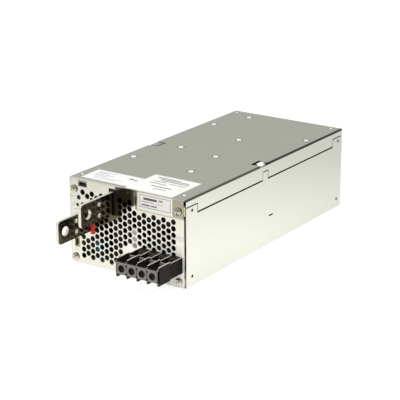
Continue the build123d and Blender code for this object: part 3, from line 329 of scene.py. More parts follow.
def paint_spots(material, ink, spots):
    """Blend an ink over a finished material inside boxes, each with its own spans and tone."""
    tree, sockets, colour = wired_inputs(material)
    for spans, tone in spots:
        spot = tree.nodes.new("ShaderNodeGroup")
        spot.node_tree = painted_box
        limits = [spans.get(axis, (-1.0, 1.0)) for axis in "XYZ"]
        spot.inputs["Low"].default_value = [low for low, high in limits]
        spot.inputs["High"].default_value = [high for low, high in limits]
        spot.inputs["Tone"].default_value = tone
        colour = blend_colour(tree, spot.outputs["Amount"], colour, (*ink, 1.0))
    tree.links.new(colour, sockets["Base Color"])


along_case = (1.0, 0.04, 1.0)
case_steel = finish_material(
    "bright_plated_sheet", (0.86, 0.86, 0.77), (900.0, 0.05), (14.0, 0.06), (0.24, 0.10), 1.0, 0.015,
    stretch=along_case,
)
side_face = (half_width - 0.3 * MM, half_width + 1.0 * MM)
wall_top = case_height - 15.25 * MM
seam_high = case_height - 14.5 * MM
step_low = case_height - 7.25 * MM
step_high = case_height - 6.5 * MM
seam_shade = 0.45 * MM
step_shade = 0.2 * MM
seam_stops = (
    front_y,
    front_y + 18.0 * MM,
    front_y + 127.4 * MM,
    front_y + 136.2 * MM,
    rear_y - 19.0 * MM,
    rear_y,
)
# Painted shade in the open seams and on the right front edge, and a painted dark reflection on the top
# fold.
painted_seam_shade = []
for i in (1, 3):
    seam_z = (wall_top - seam_shade, seam_high + seam_shade)
    painted_seam_shade.append(({"X": side_face, "Y": seam_stops[i:i + 2], "Z": seam_z}, 1.0))
for i in (0, 2, 4):
    step_z = (step_low - step_shade, step_high + step_shade)
    painted_seam_shade.append(({"X": side_face, "Y": seam_stops[i:i + 2], "Z": step_z}, 0.95))
front_edge_x = (half_width - 1.1 * MM, half_width - 0.1 * MM)
painted_seam_shade.append(({"X": front_edge_x, "Y": (front_y - MM, front_y + 0.85 * MM)}, 0.9))
fold_x = (half_width - 1.75 * MM, half_width + MM)
fold_z = (case_height - 1.75 * MM, case_height + MM)
fold_change = front_y + 132.0 * MM
painted_seam_shade.append(({"X": fold_x, "Y": (fold_change, rear_y), "Z": fold_z}, 0.90))
painted_seam_shade.append(({"X": fold_x, "Y": (front_y, fold_change), "Z": fold_z}, 0.75))
paint_spots(case_steel, (0.035, 0.033, 0.02), painted_seam_shade)
flap_face = (front_y - MM, front_y + 0.2 * MM)
# A painted brownish reflection on the flap, to the right of its label.
reflection_beside_label = {
    "X": (50.6 * MM, half_width - 1.2 * MM),
    "Y": flap_face,
    "Z": (case_height - 16.8 * MM, case_height - 0.8 * MM),
}
paint_spots(case_steel, (0.34, 0.32, 0.20), [(reflection_beside_label, 0.8)])
# Spot welds along the lower edge of the flap: a painted highlight on each bead and a painted shadow
# under it.
weld_z = case_height - 16.1 * MM
for weld_x in (16.2 * MM, 37.2 * MM):
    across = (weld_x - 1.2 * MM, weld_x + 1.2 * MM)
    bead_shadow = {"X": across, "Y": flap_face, "Z": (weld_z - 0.9 * MM, weld_z - 0.4 * MM)}
    bead_highlight = {"X": across, "Y": flap_face, "Z": (weld_z - 0.4 * MM, weld_z + 0.5 * MM)}
    paint_spots(case_steel, (0.15, 0.14, 0.10), [(bead_shadow, 0.6)])
    paint_spots(case_steel, (1.0, 1.0, 0.97), [(bead_highlight, 0.9)])
dress(case_steel, "chassis", "top_cover", "rear_panel")
lug_steel = finish_material(
    "bright_lug_steel", (1.0, 1.0, 0.96), (900.0, 0.03), (60.0, 0.05), (0.40, 0.10), stretch=along_case
)
lug_low, lug_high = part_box("lifting_catches")
# Painted shadows at the ends of the catches, and painted shade that takes the left catch down to the
# grey of the cover top.
lug_shadows = [
    ({"X": (half_width - 4.0 * MM, half_width), "Y": (lug_high.y - 4.5 * MM, lug_high.y + MM)}, 0.95),
    ({"X": (0.0, half_width - 6.0 * MM), "Y": (lug_low.y - MM, lug_low.y + 2.5 * MM)}, 0.95),
]
left_lug_shade = {"X": (-1.0, 0.0)}
paint_spots(lug_steel, (0.02, 0.02, 0.015), lug_shadows)
paint_spots(lug_steel, (0.22, 0.22, 0.20), [(left_lug_shade, 0.9)])
dress(lug_steel, "lifting_catches")


# Front panel: one punched sheet of the same plated steel with a staggered field of 5 mm holes.
# It is set back inside the folded case, with slots for the bars, windows and corner screws.
# Its lower right end is paler and less mirror bright, and a painted dark reflection and shade lie round
# the bars.
panel_low, panel_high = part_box("front_panel")
panel_left = panel_low.x
panel_right = panel_high.x
panel_top = panel_high.z
panel_sheet = 1.0 * MM
panel_front = panel_low.y
panel_back = panel_front + panel_sheet
vent_radius = 2.6 * MM
vent_pitch = 6.1 * MM
vent_column = 5.283 * MM
vent_first_x = -49.5 * MM
vent_first_z = 8.1 * MM
vent_land = 0.6 * MM
hole_sides = 28
bar_height = 21.6 * MM
bar_boxes = {name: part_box("busbar_" + name) for name in ("positive", "negative")}
bar_x = {name: (low.x + high.x) / 2 for name, (low, high) in bar_boxes.items()}
bar_z = {name: high.z - bar_height / 2 for name, (low, high) in bar_boxes.items()}
bar_thickness = bar_boxes["positive"][1].x - bar_boxes["positive"][0].x
block_low, block_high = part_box("terminal_base")
flap_low = case_height - 17.0 * MM
flap_left = 12.0 * MM
signal_x = (panel_left + 9.3 * MM, panel_left + 18.9 * MM)
signal_window = (*signal_x, panel_top - 6.7 * MM, panel_top - 1.2 * MM)
remote_window = (panel_left + 3.8 * MM, panel_left + 9.6 * MM, 15.4 * MM, 24.6 * MM)
trimmer_place = (panel_left + 9.4 * MM, panel_top - 17.6 * MM)
trimmer_hole = 2.25 * MM
lamp_place = (panel_left + 7.9 * MM, panel_top - 24.8 * MM)
lamp_hole = 1.65 * MM
screw_hole = 2.05 * MM
panel_screw_x = (5.4 * MM - half_width, half_width - 8.0 * MM)
front_screw_z = (5.4 * MM, case_height - 11.1 * MM)


def ring_loop(x, z, radius, sides):
    """Corner points of a round hole or edge."""
    step = 2 * math.pi / sides
    return [(x + radius * math.cos(step * i), z + radius * math.sin(step * i)) for i in range(sides)]


def box_loop(x0, x1, z0, z1):
    """Corner points of a rectangle."""
    return [(x0, z0), (x1, z0), (x1, z1), (x0, z1)]


def evaluated_mesh(holder):
    """The mesh of an object as its modifiers or its outline leave it."""
    return bpy.data.meshes.new_from_object(holder.evaluated_get(bpy.context.evaluated_depsgraph_get()))


def mesh_from(work, name):
    """Close a work mesh into a mesh with a name."""
    mesh = bpy.data.meshes.new(name)
    work.to_mesh(mesh)
    work.free()
    return mesh


def punched_mesh(name, loops, thickness):
    """A flat sheet lying in its own plane, cut by its inner loops."""
    curve = bpy.data.curves.new(name, "CURVE")
    curve.dimensions = "2D"
    curve.fill_mode = "BOTH"
    curve.extrude = thickness / 2
    for loop in loops:
        spline = curve.splines.new("POLY")
        spline.points.add(len(loop) - 1)
        for point, (x, y) in zip(spline.points, loop):
            point.co = (x, y, 0.0, 1.0)
        spline.use_cyclic_u = True
    holder = link_object(name + "_outline", curve)
    filled = evaluated_mesh(holder)
    bpy.data.objects.remove(holder)
    bpy.data.curves.remove(curve)
    work = bmesh.new()
    work.from_mesh(filled)
    bpy.data.meshes.remove(filled)
    bmesh.ops.remove_doubles(work, verts=work.verts, dist=0.002 * MM)
    bmesh.ops.recalc_face_normals(work, faces=work.faces)
    return mesh_from(work, name)


def stand_up(mesh, y):
    """Turn a flat sheet so that it faces the front, with its middle plane at y."""
    mesh.transform(Matrix.Translation((0.0, y, 0.0)) @ Matrix.Rotation(math.pi / 2, 4, "X"))
    return mesh


def smooth_round(mesh, angle=35.0):
    """Smooth shading across shallow edges only."""
    mesh.shade_smooth()
    mesh.set_sharp_from_angle(angle=math.radians(angle))


def closed_areas():
    """Places of the front panel that stay shut between the vent holes."""
    zones = [signal_window, remote_window]
    bar_margin = 2.0 * MM
    for bar, x in bar_x.items():
        half_x = bar_thickness / 2 + bar_margin
        half_z = bar_height / 2 + bar_margin
        zones.append((x - half_x, x + half_x, bar_z[bar] - half_z, bar_z[bar] + half_z))
    reach = vent_radius + vent_land
    block_left = vent_first_x + 8.5 * vent_column + reach
    flap_vent_left = vent_first_x + 10.5 * vent_column + reach
    zones.append((block_left, half_width, 0.0, 26.0 * MM))
    zones.append((flap_vent_left, half_width, flap_low - 1.0 * MM, case_height))
    for (x, z), radius in ((trimmer_place, trimmer_hole), (lamp_place, lamp_hole)):
        edge = radius + 0.2 * MM
        zones.append((x - edge, x + radius + 1.0 * MM, z - edge, z + edge))
    return zones


def vent_points():
    """Centres of the vent holes."""
    points = []
    reach = vent_radius + vent_land
    top_row = panel_top - 11.0 * MM
    zones = closed_areas()
    for column in range(20):
        for row in range(11):
            x = vent_first_x + vent_column * column
            z = vent_first_z + vent_pitch * row + (vent_pitch / 2 if column % 2 else 0.0)
            shut = z > top_row
            for x0, x1, z0, z1 in zones:
                if x0 - reach < x < x1 + reach and z0 - reach < z < z1 + reach:
                    shut = True
            if not shut:
                points.append((x, z))
    return points


def bar_opening(bar, play):
    """Corner points of the panel opening round one bar, or of what fills it with some play."""
    side = bar_thickness / 2 + 2.3 * MM - play
    low = bar_z[bar] - bar_height / 2 - 0.8 * MM + play
    high = bar_z[bar] + bar_height / 2 + 2.8 * MM - play
    return box_loop(bar_x[bar] - side, bar_x[bar] + side, low, high)


def box_mesh(name, corners, edge):
    """A block between two corners with rounded edges."""
    (x0, y0, z0), (x1, y1, z1) = corners
    work = bmesh.new()
    bmesh.ops.create_cube(work, size=1.0)
    for vert in work.verts:
        vert.co.x = x0 if vert.co.x < 0 else x1
        vert.co.y = y0 if vert.co.y < 0 else y1
        vert.co.z = z0 if vert.co.z < 0 else z1
    if edge > 0:
        bmesh.ops.bevel(
            work,
            geom=work.edges[:],
            offset=edge,
            segments=2,
            profile=0.5,
            affect="EDGES",
            clamp_overlap=True,
        )
    mesh = mesh_from(work, name)
    smooth_round(mesh)
    return mesh


def bevelled(obj, width, angle=35.0):
    """Round the edges of a finished piece."""
    rounded = obj.modifiers.new("rounded", "BEVEL")
    rounded.width = width
    rounded.segments = 2
    rounded.limit_method = "ANGLE"
    rounded.angle_limit = math.radians(angle)
    rounded.harden_normals = True


def flat_spots(across, rows):
    """Painted boxes from rows in millimetres: two X positions, two across them, and a tone."""
    spots = []
    for x0, x1, v0, v1, tone in rows:
        spots.append(({"X": (x0 * MM, x1 * MM), across: (v0 * MM, v1 * MM)}, tone))
    return spots


def calm_patch(material, start, full, metallic, roughness, colour):
    """Turn mirror-bright sheet into paler satin sheet between two pairs of X and Z positions."""
    tree, sockets, own_colour = wired_inputs(material)
    place = axis_parts(tree, tree.nodes.new("ShaderNodeTexCoord").outputs["Object"])
    amount = 1.0
    for axis, low, high in (("X", start[0], full[0]), ("Z", start[1], full[1])):
        amount = math_node(tree, "MULTIPLY", ramp_node(tree, place[axis], low, high), amount)
    tree.links.new(blend_colour(tree, amount, own_colour, (*colour, 1.0)), sockets["Base Color"])
    drop = math_node(tree, "MULTIPLY", amount, 1.0 - metallic)
    tree.links.new(math_node(tree, "SUBTRACT", 1.0, drop), sockets["Metallic"])
    own_roughness = sockets["Roughness"].links[0].from_socket
    rise = math_node(tree, "MULTIPLY", amount, roughness)
    tree.links.new(math_node(tree, "ADD", own_roughness, rise), sockets["Roughness"])


panel_loops = [box_loop(panel_left, panel_right, 0.0, panel_top)]
panel_loops += [ring_loop(x, z, vent_radius, hole_sides) for x, z in vent_points()]
panel_loops += [bar_opening(bar, 0.0) for bar in bar_x]
panel_loops += [box_loop(*signal_window), box_loop(*remote_window)]
panel_loops.append(ring_loop(*trimmer_place, trimmer_hole, hole_sides))
panel_loops.append(ring_loop(*lamp_place, lamp_hole, hole_sides))
for x in panel_screw_x:
    for z in front_screw_z:
        panel_loops.append(ring_loop(x, z, screw_hole, hole_sides))
plug = 2.4 * MM
panel_loops.append(
    box_loop(block_low.x + plug, block_high.x - plug, block_low.z + plug, block_high.z - plug)
)
panel_mesh = punched_mesh("vented_front", panel_loops, panel_sheet)
stand_up(panel_mesh, panel_front + panel_sheet / 2)
smooth_round(panel_mesh)
return_corners = (
    (panel_left, panel_back, panel_top - panel_sheet),
    (panel_right, panel_high.y, panel_top),
)
front_steel = finish_material(
    "bright_plated_front", (0.84, 0.82, 0.71), (700.0, 0.04), (30.0, 0.04), (0.09, 0.05), 1.0, 0.01,
    stretch=(1.0, 1.0, 0.05),
)
flap_shade = [
    ({"X": (flap_left - 2.1 * MM, flap_left), "Z": (flap_low - 0.6 * MM, case_height)}, 0.85),
    ({"X": (flap_left - 2.0 * MM, half_width - 2.0 * MM), "Z": (flap_low - 1.6 * MM, flap_low)}, 0.35),
]
window_marks = [
    (-63.0, -60.8, 63.0, 64.4, 0.45),
    (-62.4, -60.4, 54.6, 55.3, 0.5),
    (-59.6, -58.2, 55.6, 57.4, 0.45),
    (-60.2, -55.4, 51.2, 51.9, 0.5),
    (-60.4, -55.0, 11.6, 12.3, 0.4),
    (-60.0, -56.2, 13.2, 13.8, 0.3),
    (-52.4, -48.0, 70.9, 71.5, 0.25),
]
# Painted dark reflection and shade on the panel round and above the bars.
bar_reflection_shade = [
    (-12.4, 5.0, 66.0, 81.2, 0.90),
    (5.0, 7.6, 66.0, 81.2, 0.65),
    (-12.4, -6.0, 54.0, 66.0, 0.80),
]
paint_spots(front_steel, (0.10, 0.10, 0.08), flap_shade + flat_spots("Z", window_marks))
paint_spots(front_steel, (0.045, 0.035, 0.03), flat_spots("Z", bar_reflection_shade))
satin_start = (-2.0 * MM, 52.0 * MM)
satin_full = (6.0 * MM, 42.0 * MM)
calm_patch(front_steel, satin_start, satin_full, 0.2, 0.35, (1.0, 0.99, 0.91))
vented_front = link_object("vented_front", panel_mesh, front_steel)
bevelled(vented_front, 0.28 * MM)
return_mesh = box_mesh("front_return", return_corners, 0.1 * MM)
front_return = link_object("front_return", return_mesh, front_steel)
for piece in (vented_front, front_return):
    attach(piece, "case")
    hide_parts("front_panel")


# Panel screws: pan heads with a cross recess, plated steel, two down each side of both end panels.
# The upper right front one holds the flap of the cover as well.
# Their plating is mottled, and the recess and the foot of each head lie in shade.
def turned_mesh(name, rings, sides):
    """A closed round form about the Z axis from rings of radius and height, its foot first."""
    work = bmesh.new()
    loops = []
    for radius, height in rings:
        loops.append([work.verts.new((x, y, height)) for x, y in ring_loop(0, 0, radius, sides)])
    for lower, upper in zip(loops, loops[1:]):
        for i in range(sides):
            j = (i + 1) % sides
            work.faces.new((lower[i], lower[j], upper[j], upper[i]))
    work.faces.new(loops[-1])
    work.faces.new(reversed(loops[0]))
    return mesh_from(work, name)


def pan_head_mesh(name, radius, height, sides, recess):
    """A domed screw head about the Z axis, its foot at z 0, with a cross recess pressed in."""
    steps = 6
    foot_share = 0.25
    last_angle = math.pi / 2 * 0.86
    rings = [(radius, 0.0)]
    for i in range(steps + 1):
        angle = i / steps * last_angle
        rise = (1.0 - foot_share) * math.sin(angle) / math.sin(last_angle)
        rings.append((radius * math.cos(angle), height * (foot_share + rise)))
    head = cut_cross(turned_mesh(name, rings, sides), recess, height)
    smooth_round(head, 40.0)
    return head


def cut_cross(head, width, height):
    """Press a tapered cross into the top of a screw head, and mark its faces and the foot as shaded."""
    recess_floor = (1.2 * width, 0.45 * width, 0.35 * height)
    recess_mouth = (2.4 * width, 0.70 * width, 1.2 * height)
    work = bmesh.new()
    for turn in (0, 1):
        arm = bmesh.ops.create_cube(work, size=2.0)
        for vert in arm["verts"]:
            reach, thick, z = recess_floor if vert.co.z < 0 else recess_mouth
            x = reach * vert.co.x
            y = thick * vert.co.y
            vert.co = (y, x, z) if turn else (x, y, z)
    bmesh.ops.recalc_face_normals(work, faces=work.faces)
    tool = link_object("cross_tool", mesh_from(work, "cross_tool"))
    blank = link_object("cross_blank", head)
    cut = blank.modifiers.new("cross", "BOOLEAN")
    cut.operation = "DIFFERENCE"
    cut.solver = "EXACT"
    cut.use_self = True
    cut.object = tool
    result = evaluated_mesh(blank)
    for piece in (tool, blank):
        bpy.data.objects.remove(piece)
    result.name = head.name + "_cut"
    for face in result.polygons:
        level = face.center.z / height
        from_axis = math.hypot(face.center.x, face.center.y)
        in_recess = from_axis < 2.3 * width and 0.3 < level < 0.85
        on_foot = 0.02 < level < 0.24
        if in_recess or on_foot:
            face.material_index = 1
    return result


def join_meshes(name, parts):
    """One mesh from several placed ones: pairs of mesh and placing matrix."""
    work = bmesh.new()
    for mesh, matrix in parts:
        copy = mesh.copy()
        copy.transform(matrix)
        work.from_mesh(copy)
        bpy.data.meshes.remove(copy)
    return mesh_from(work, name)


def turned_at_random():
    """A screw stops where it is tight, so each head is turned by its own angle."""
    return Matrix.Rotation(random.uniform(0, math.pi), 4, "Z")


facing_front = Matrix.Rotation(math.pi / 2, 4, "X")
facing_rear = Matrix.Rotation(-math.pi / 2, 4, "X")
rear_screw_z = (5.2 * MM, case_height - 6.2 * MM)
pan_head = pan_head_mesh("pan_head", 3.65 * MM, 2.2 * MM, 32, 0.9 * MM)
screw_parts = []
random.seed(4)
for x in panel_screw_x:
    for z in front_screw_z:
        on_flap = x > 0 and z > flap_low
        seat = front_y if on_flap else panel_front
        place = Matrix.Translation((x, seat, z)) @ facing_front @ turned_at_random()
        screw_parts.append((pan_head, place))
    for z in rear_screw_z:
        place = Matrix.Translation((x, rear_y, z)) @ facing_rear @ turned_at_random()
        screw_parts.append((pan_head, place))
screw_steel = finish_material(
    "plated_screw_steel", (0.68, 0.65, 0.53), (800.0, 1.10), (500.0, 0.5), (0.30, 0.15), 1.0
)
recess_shadow = finish_material(
    "recess_shadow", (0.03, 0.028, 0.02), (1500.0, 0.3), (300.0, 0.4), (0.6, 0.1)
)
pan_screws_mesh = join_meshes("pan_screws", screw_parts)
pan_screws = link_object("pan_screws", pan_screws_mesh, screw_steel, recess_shadow)
smooth_round(pan_screws_mesh, 40.0)
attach(pan_screws, "case")
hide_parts("panel_screws")


# Cover fixings: flush heads of clinched studs and small countersunk corner screws in the top.
# Each sits in a shallow dimple of the sheet, with a painted shadow at its rim, a dark crescent at
# either side.
def dimple_parts(radius, lift):
    """A bright disc with a low crown, and the painted shadow of its dimple rim, wider across one
    direction.
    """
    sides = 28
    wide_way = math.radians(34)
    crown = ((1.0, 0.0), (0.92, 1.0), (0.5, 1.3), (0.12, 1.35))
    rings = [(radius * reach, lift * rise) for reach, rise in crown]
    outline = []
    for x, y in ring_loop(0, 0, radius, sides):
        side = abs(math.cos(math.atan2(y, x) - wide_way))
        growth = 1.02 + 0.34 * side ** 3
        outline.append((x * growth, y * growth))
    rim = punched_mesh("dimple_rim", [outline, ring_loop(0, 0, radius * 0.98, sides)], 0.04 * MM)
    return turned_mesh("crown", rings, sides), rim


case_width = 2 * half_width
case_depth = rear_y - front_y
stud_shares = (
    (0.213, 0.943),
    (0.089, 0.793),
    (0.934, 0.793),
    (0.496, 0.668),
    (0.240, 0.480),
    (0.597, 0.450),
    (0.093, 0.296),
    (0.651, 0.264),
)
stud_places = [(x * case_width - half_width, y * case_depth + front_y) for x, y in stud_shares]
corner_places = [
    (x, y)
    for x in (6.0 * MM - half_width, half_width - 10.0 * MM)
    for y in (front_y + 12.5 * MM, rear_y - 6.0 * MM)
]
bright_head_steel = finish_material(
    "polished_head_steel", (0.95, 0.94, 0.90), (1500.0, 0.05), (400.0, 0.1), (0.40, 0.1), 0.2
)
dimple_shadow = finish_material(
    "dimple_shadow", (0.04, 0.038, 0.03), (1500.0, 0.3), (300.0, 0.4), (0.6, 0.1)
)
rim_parts = []
for name, places, radius, lift, replaced in (
    ("stud_heads", stud_places, 2.85 * MM, 0.06 * MM, "cover_studs"),
    ("corner_heads", corner_places, 1.75 * MM, 0.05 * MM, "cover_screws"),
):
    disc, rim = dimple_parts(radius, lift)
    spots = [Matrix.Translation((x, y, case_height)) for x, y in places]
    rim_parts += [(rim, spot) for spot in spots]
    heads = link_object(name, join_meshes(name, [(disc, spot) for spot in spots]), bright_head_steel)
    smooth_round(heads.data)
    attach(heads, "case")
    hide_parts(replaced)
dimple_rim_shadows = link_object("dimple_rim_shadows", join_meshes("dimple_rim_shadows", rim_parts), dimple_shadow)
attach(dimple_rim_shadows, "case")


# Output bars: plated copper plate on edge, 3 mm thick, with one large and two small bolt holes.
# The plating has gone brown and blotchy on the flanks, and the sheared edges are pale satin, bare metal
# with a painted highlight.
# Inside the case each bar bends down to the board, where it is painted dark as shade.
bar_tip_y = bar_boxes["positive"][0].y
bar_inner_y = bar_boxes["positive"][1].y
board_top = bar_boxes["positive"][0].z


def rounded_corner(y, z, radius, quarter):
    """Points of one rounded corner about its centre, over one quarter turn."""
    angles = [(quarter + i / 6) * math.pi / 2 for i in range(7)]
    return [(y + radius * math.cos(angle), z + radius * math.sin(angle)) for angle in angles]


def rounded_bar_loop(z, low):
    """Side outline of a bar with its leg and its two rounded tip corners."""
    radius = 3.5 * MM
    leg_y = bar_inner_y - 9.0 * MM
    top = z + bar_height / 2
    bottom = z - bar_height / 2
    points = rounded_corner(bar_tip_y + radius, top - radius, radius, 1)
    points += rounded_corner(bar_tip_y + radius, bottom + radius, radius, 2)
    points += [(leg_y, bottom), (leg_y, low), (bar_inner_y, low), (bar_inner_y, top)]
    return points


def stand_sideways(mesh, x):
    """Turn a flat sheet so that its own plane becomes the Y-Z plane at x."""
    mesh.transform(Matrix(((0, 0, 1, x), (1, 0, 0, 0), (0, 1, 0, 0), (0, 0, 0, 1))))
    return mesh


def normal_parts(tree):
    """The parts of the surface's own direction along X, Y and Z."""
    return axis_parts(tree, tree.nodes.new("ShaderNodeNewGeometry").outputs["Normal"])


def bar_material():
    """Brown flanks with pale blotches, and satin sheared edges all round, pale as bare metal and
    highlight.
    """
    brown = (0.125, 0.102, 0.070)
    material = finish_material(
        "browned_bar_plating", brown, (500.0, 0.25), (140.0, 0.7), (0.14, 0.10), 1.0, 0.05
    )
    tree, sockets, flank_colour = wired_inputs(material)
    sideways = math_node(tree, "ABSOLUTE", normal_parts(tree)["X"], 0.0)
    # Sheared edges: paler as bare metal, and as a painted highlight.
    edge = math_node(tree, "LESS_THAN", sideways, 0.85)
    colour = blend_colour(tree, edge, flank_colour, (0.78, 0.75, 0.66, 1.0))
    tree.links.new(colour, sockets["Base Color"])
    satin = math_node(tree, "MULTIPLY", edge, 0.5)
    tree.links.new(math_node(tree, "SUBTRACT", 1.0, satin), sockets["Metallic"])
    return material


browned_bar = bar_material()
# Painted shade on the legs inside the case.
inner_leg_shade = {"Y": (panel_back + 15.0 * MM, 0.0), "Z": (0.0, 60.0 * MM)}
paint_spots(browned_bar, (0.01, 0.01, 0.01), [(inner_leg_shade, 0.95)])
cable_hole_y = bar_tip_y + 9.7 * MM
small_holes_y = bar_tip_y + 25.6 * MM
small_hole_offset = 5.15 * MM
for bar in bar_x:
    z = bar_z[bar]
    loops = [rounded_bar_loop(z, board_top), ring_loop(cable_hole_y, z, 4.5 * MM, 40)]
    for hole_z in (z - small_hole_offset, z + small_hole_offset):
        loops.append(ring_loop(small_holes_y, hole_z, 2.1 * MM, hole_sides))
    mesh = punched_mesh("output_bar_" + bar, loops, bar_thickness - 0.02 * MM)
    stand_sideways(mesh, bar_x[bar])
    output_bar = link_object("output_bar_" + bar, mesh, browned_bar)
    smooth_round(mesh)
    bevelled(output_bar, 0.25 * MM)
    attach(output_bar, "case")
    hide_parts("busbar_" + bar)


# Bar bushings: moulded resin sleeves that keep the bars off the panel, one red and one black.
# They are pushed into their openings from the front, and the red one has a flange at its right side.
def bushing_mesh(name, bar):
    """Sleeve of a bushing with an opening for its bar, and its flange where it has one."""
    x, z = bar_x[bar], bar_z[bar]
    half_x = bar_thickness / 2
    half_z = bar_height / 2
    proud = 0.3 * MM
    inner = box_loop(x - half_x, x + half_x, z - half_z, z + half_z)
    length = panel_back + 2.0 * MM - panel_front + proud
    sleeve = punched_mesh(name + "_sleeve", [bar_opening(bar, 0.1 * MM), inner], length)
    parts = [(stand_up(sleeve, panel_front - proud + length / 2), still)]
    if bar == "positive":
        end = half_z + 2.4 * MM
        flange = (
            (x + half_x, panel_front - 1.5 * MM, z - end),
            (x + half_x + 3.4 * MM, panel_front, z + end),
        )
        parts.append((box_mesh(name + "_flange", flange, 0.0), still))
    return join_meshes(name, parts)


still = Matrix.Identity(4)
red_resin = finish_material(
    "red_moulded_resin", (0.66, 0.03, 0.025), (1500.0, 0.1), (120.0, 0.15), (0.42, 0.1), 0.0, 0.04
)
black = (0.014, 0.013, 0.012)
black_resin = finish_material(
    "black_moulded_resin", black, (1500.0, 0.3), (90.0, 0.3), (0.50, 0.1), 0.0, 0.05, 0.2
)
for bar, resin, slot_name in (
    ("positive", red_resin, "red_resin"),
    ("negative", black_resin, "black_resin"),
):
    name = "bar_bushing_" + bar
    bushing = link_object(name, bushing_mesh(name, bar), resin)
    smooth_round(bushing.data)
    bevelled(bushing, 0.2 * MM)
    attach(bushing, "case")
    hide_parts("bushing_" + bar)


# Terminal block: a black moulded base with barriers and a clip-on front part of the same resin.
# The front part has a round access hole over each screw and small feet under its barriers.
# Painted light pales the front faces and the upper edges. Behind the holes sit plated screws on tinned
# brass plates.
lid_low, lid_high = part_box("terminal_cover")
edge_highlight = (0.60, 0.58, 0.52)


def terminal_resin(name, front_light, gloss):
    """Dark resin with painted light on its front faces and a painted highlight on its upper edges."""
    material = finish_material(
        name, (0.012, 0.010, 0.008), (1300.0, 0.35), (80.0, 0.3), (0.46, 0.12), 0.0, 0.05, gloss
    )
    tree, sockets, dark = wired_inputs(material)
    front = math_node(tree, "LESS_THAN", normal_parts(tree)["Y"], -0.8)
    amount = math_node(tree, "MULTIPLY", front, front_light)
    tree.links.new(blend_colour(tree, amount, dark, (0.19, 0.18, 0.165, 1.0)), sockets["Base Color"])
    paint_spots(material, edge_highlight, [({"Z": (lid_high.z - 0.35 * MM, case_height)}, 0.9)])
    return material


def soften(node_name, width):
    """Round the edges of a carried-over CAD node without touching its own mesh."""
    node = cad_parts[node_name]
    joined = node.modifiers.new("joined", "WELD")
    joined.merge_threshold = 0.01 * MM
    bevelled(node, width, 32.0)


lid_resin = terminal_resin("terminal_lid_resin", 1.0, 0.12)
base_resin = terminal_resin("terminal_base_resin", 0.25, 0.08)
dress(base_resin, "terminal_base")
soften("terminal_base", 0.2 * MM)
latch_length = 4.5 * MM
pole_pitch = 11.0 * MM
barrier = 1.0 * MM
lid_rear = lid_high.y - latch_length
face_low = 16.6 * MM
face_high = 28.0 * MM
face_wall = 2.6 * MM
terminal_z = 22.0 * MM
access_hole = 3.4 * MM
notch = 0.9 * MM
notch_z = (17.9 * MM, 25.5 * MM)
pole_x = [block_low.x + barrier / 2 + pole_pitch * (i + 0.5) for i in range(4)]
barrier_x = [block_low.x + pole_pitch * i for i in range(5)]
notches = [(x + barrier / 2, z) for x in barrier_x[1:4] for z in notch_z]
# Painted highlights on the tops of the base's barriers.
for x in barrier_x[1:]:
    spans = {"X": (x + 0.1 * MM, x + barrier), "Z": (block_high.z - 0.4 * MM, case_height)}
    paint_spots(base_resin, edge_highlight, [(spans, 0.8)])
# Painted highlights on the lid's rear rib and on its right front corner.
rib_highlight = {
    "Y": (lid_rear - 0.9 * MM, lid_rear + MM),
    "Z": (face_high - 0.3 * MM, face_high + 0.3 * MM),
}
corner_highlight = {
    "X": (block_high.x - 0.5 * MM, block_high.x + MM),
    "Y": (lid_low.y - MM, lid_low.y + 0.9 * MM),
}
# Painted shade at the small notches in the lid's face.
notch_shade = 0.95 * MM
notch_shade_spots = []
for x, z in notches:
    spans = {
        "X": (x - notch_shade, x + notch_shade),
        "Y": (lid_low.y - MM, lid_low.y + 4.0 * MM),
        "Z": (z - notch_shade, z + notch_shade),
    }
    notch_shade_spots.append((spans, 0.95))
paint_spots(lid_resin, edge_highlight, [(rib_highlight, 0.7)])
paint_spots(lid_resin, (0.30, 0.29, 0.26), [(corner_highlight, 0.8)])
paint_spots(lid_resin, (0.004, 0.004, 0.003), notch_shade_spots)


def barrier_loop():
    """Side outline of one barrier: round upper front corner, and a small foot at the front."""
    front, low, high = lid_low.y, lid_low.z, lid_high.z
    radius = 3.0 * MM
    foot = 1.2 * MM
    rear = lid_rear - 0.5 * MM
    points = [(front, low + foot), (front + foot, low), (rear, low), (rear, high)]
    return points + rounded_corner(front + radius, high - radius, radius, 1)


lid_parts = []
for x in barrier_x:
    upright = stand_sideways(punched_mesh("barrier", [barrier_loop()], barrier), x + barrier / 2)
    lid_parts.append((upright, still))
face_loops = [box_loop(block_low.x, block_high.x, face_low, face_high)]
face_loops += [ring_loop(x, terminal_z, access_hole, 32) for x in pole_x]
face_loops += [ring_loop(x, z, notch, 12) for x, z in notches]
face = stand_up(punched_mesh("face_wall", face_loops, face_wall), lid_low.y + face_wall / 2)
lid_parts.append((face, still))
rib_front = lid_rear - 1.5 * MM
rib = ((block_low.x, rib_front, face_high - 4.0 * MM), (block_high.x, lid_rear, face_high))
lid_parts.append((box_mesh("rear_rib", rib, 0.0), still))
for left in (barrier_x[0] + barrier + 0.4 * MM, barrier_x[4] - 1.6 * MM):
    latch = ((left, rib_front, 24.0 * MM), (left + 1.2 * MM, lid_high.y, 27.0 * MM))
    lid_parts.append((box_mesh("latch", latch, 0.0), still))
terminal_lid = link_object("terminal_lid", join_meshes("terminal_lid", lid_parts), lid_resin)
smooth_round(terminal_lid.data)
bevelled(terminal_lid, 0.22 * MM)
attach(terminal_lid, "terminal_cover")
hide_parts("terminal_cover")

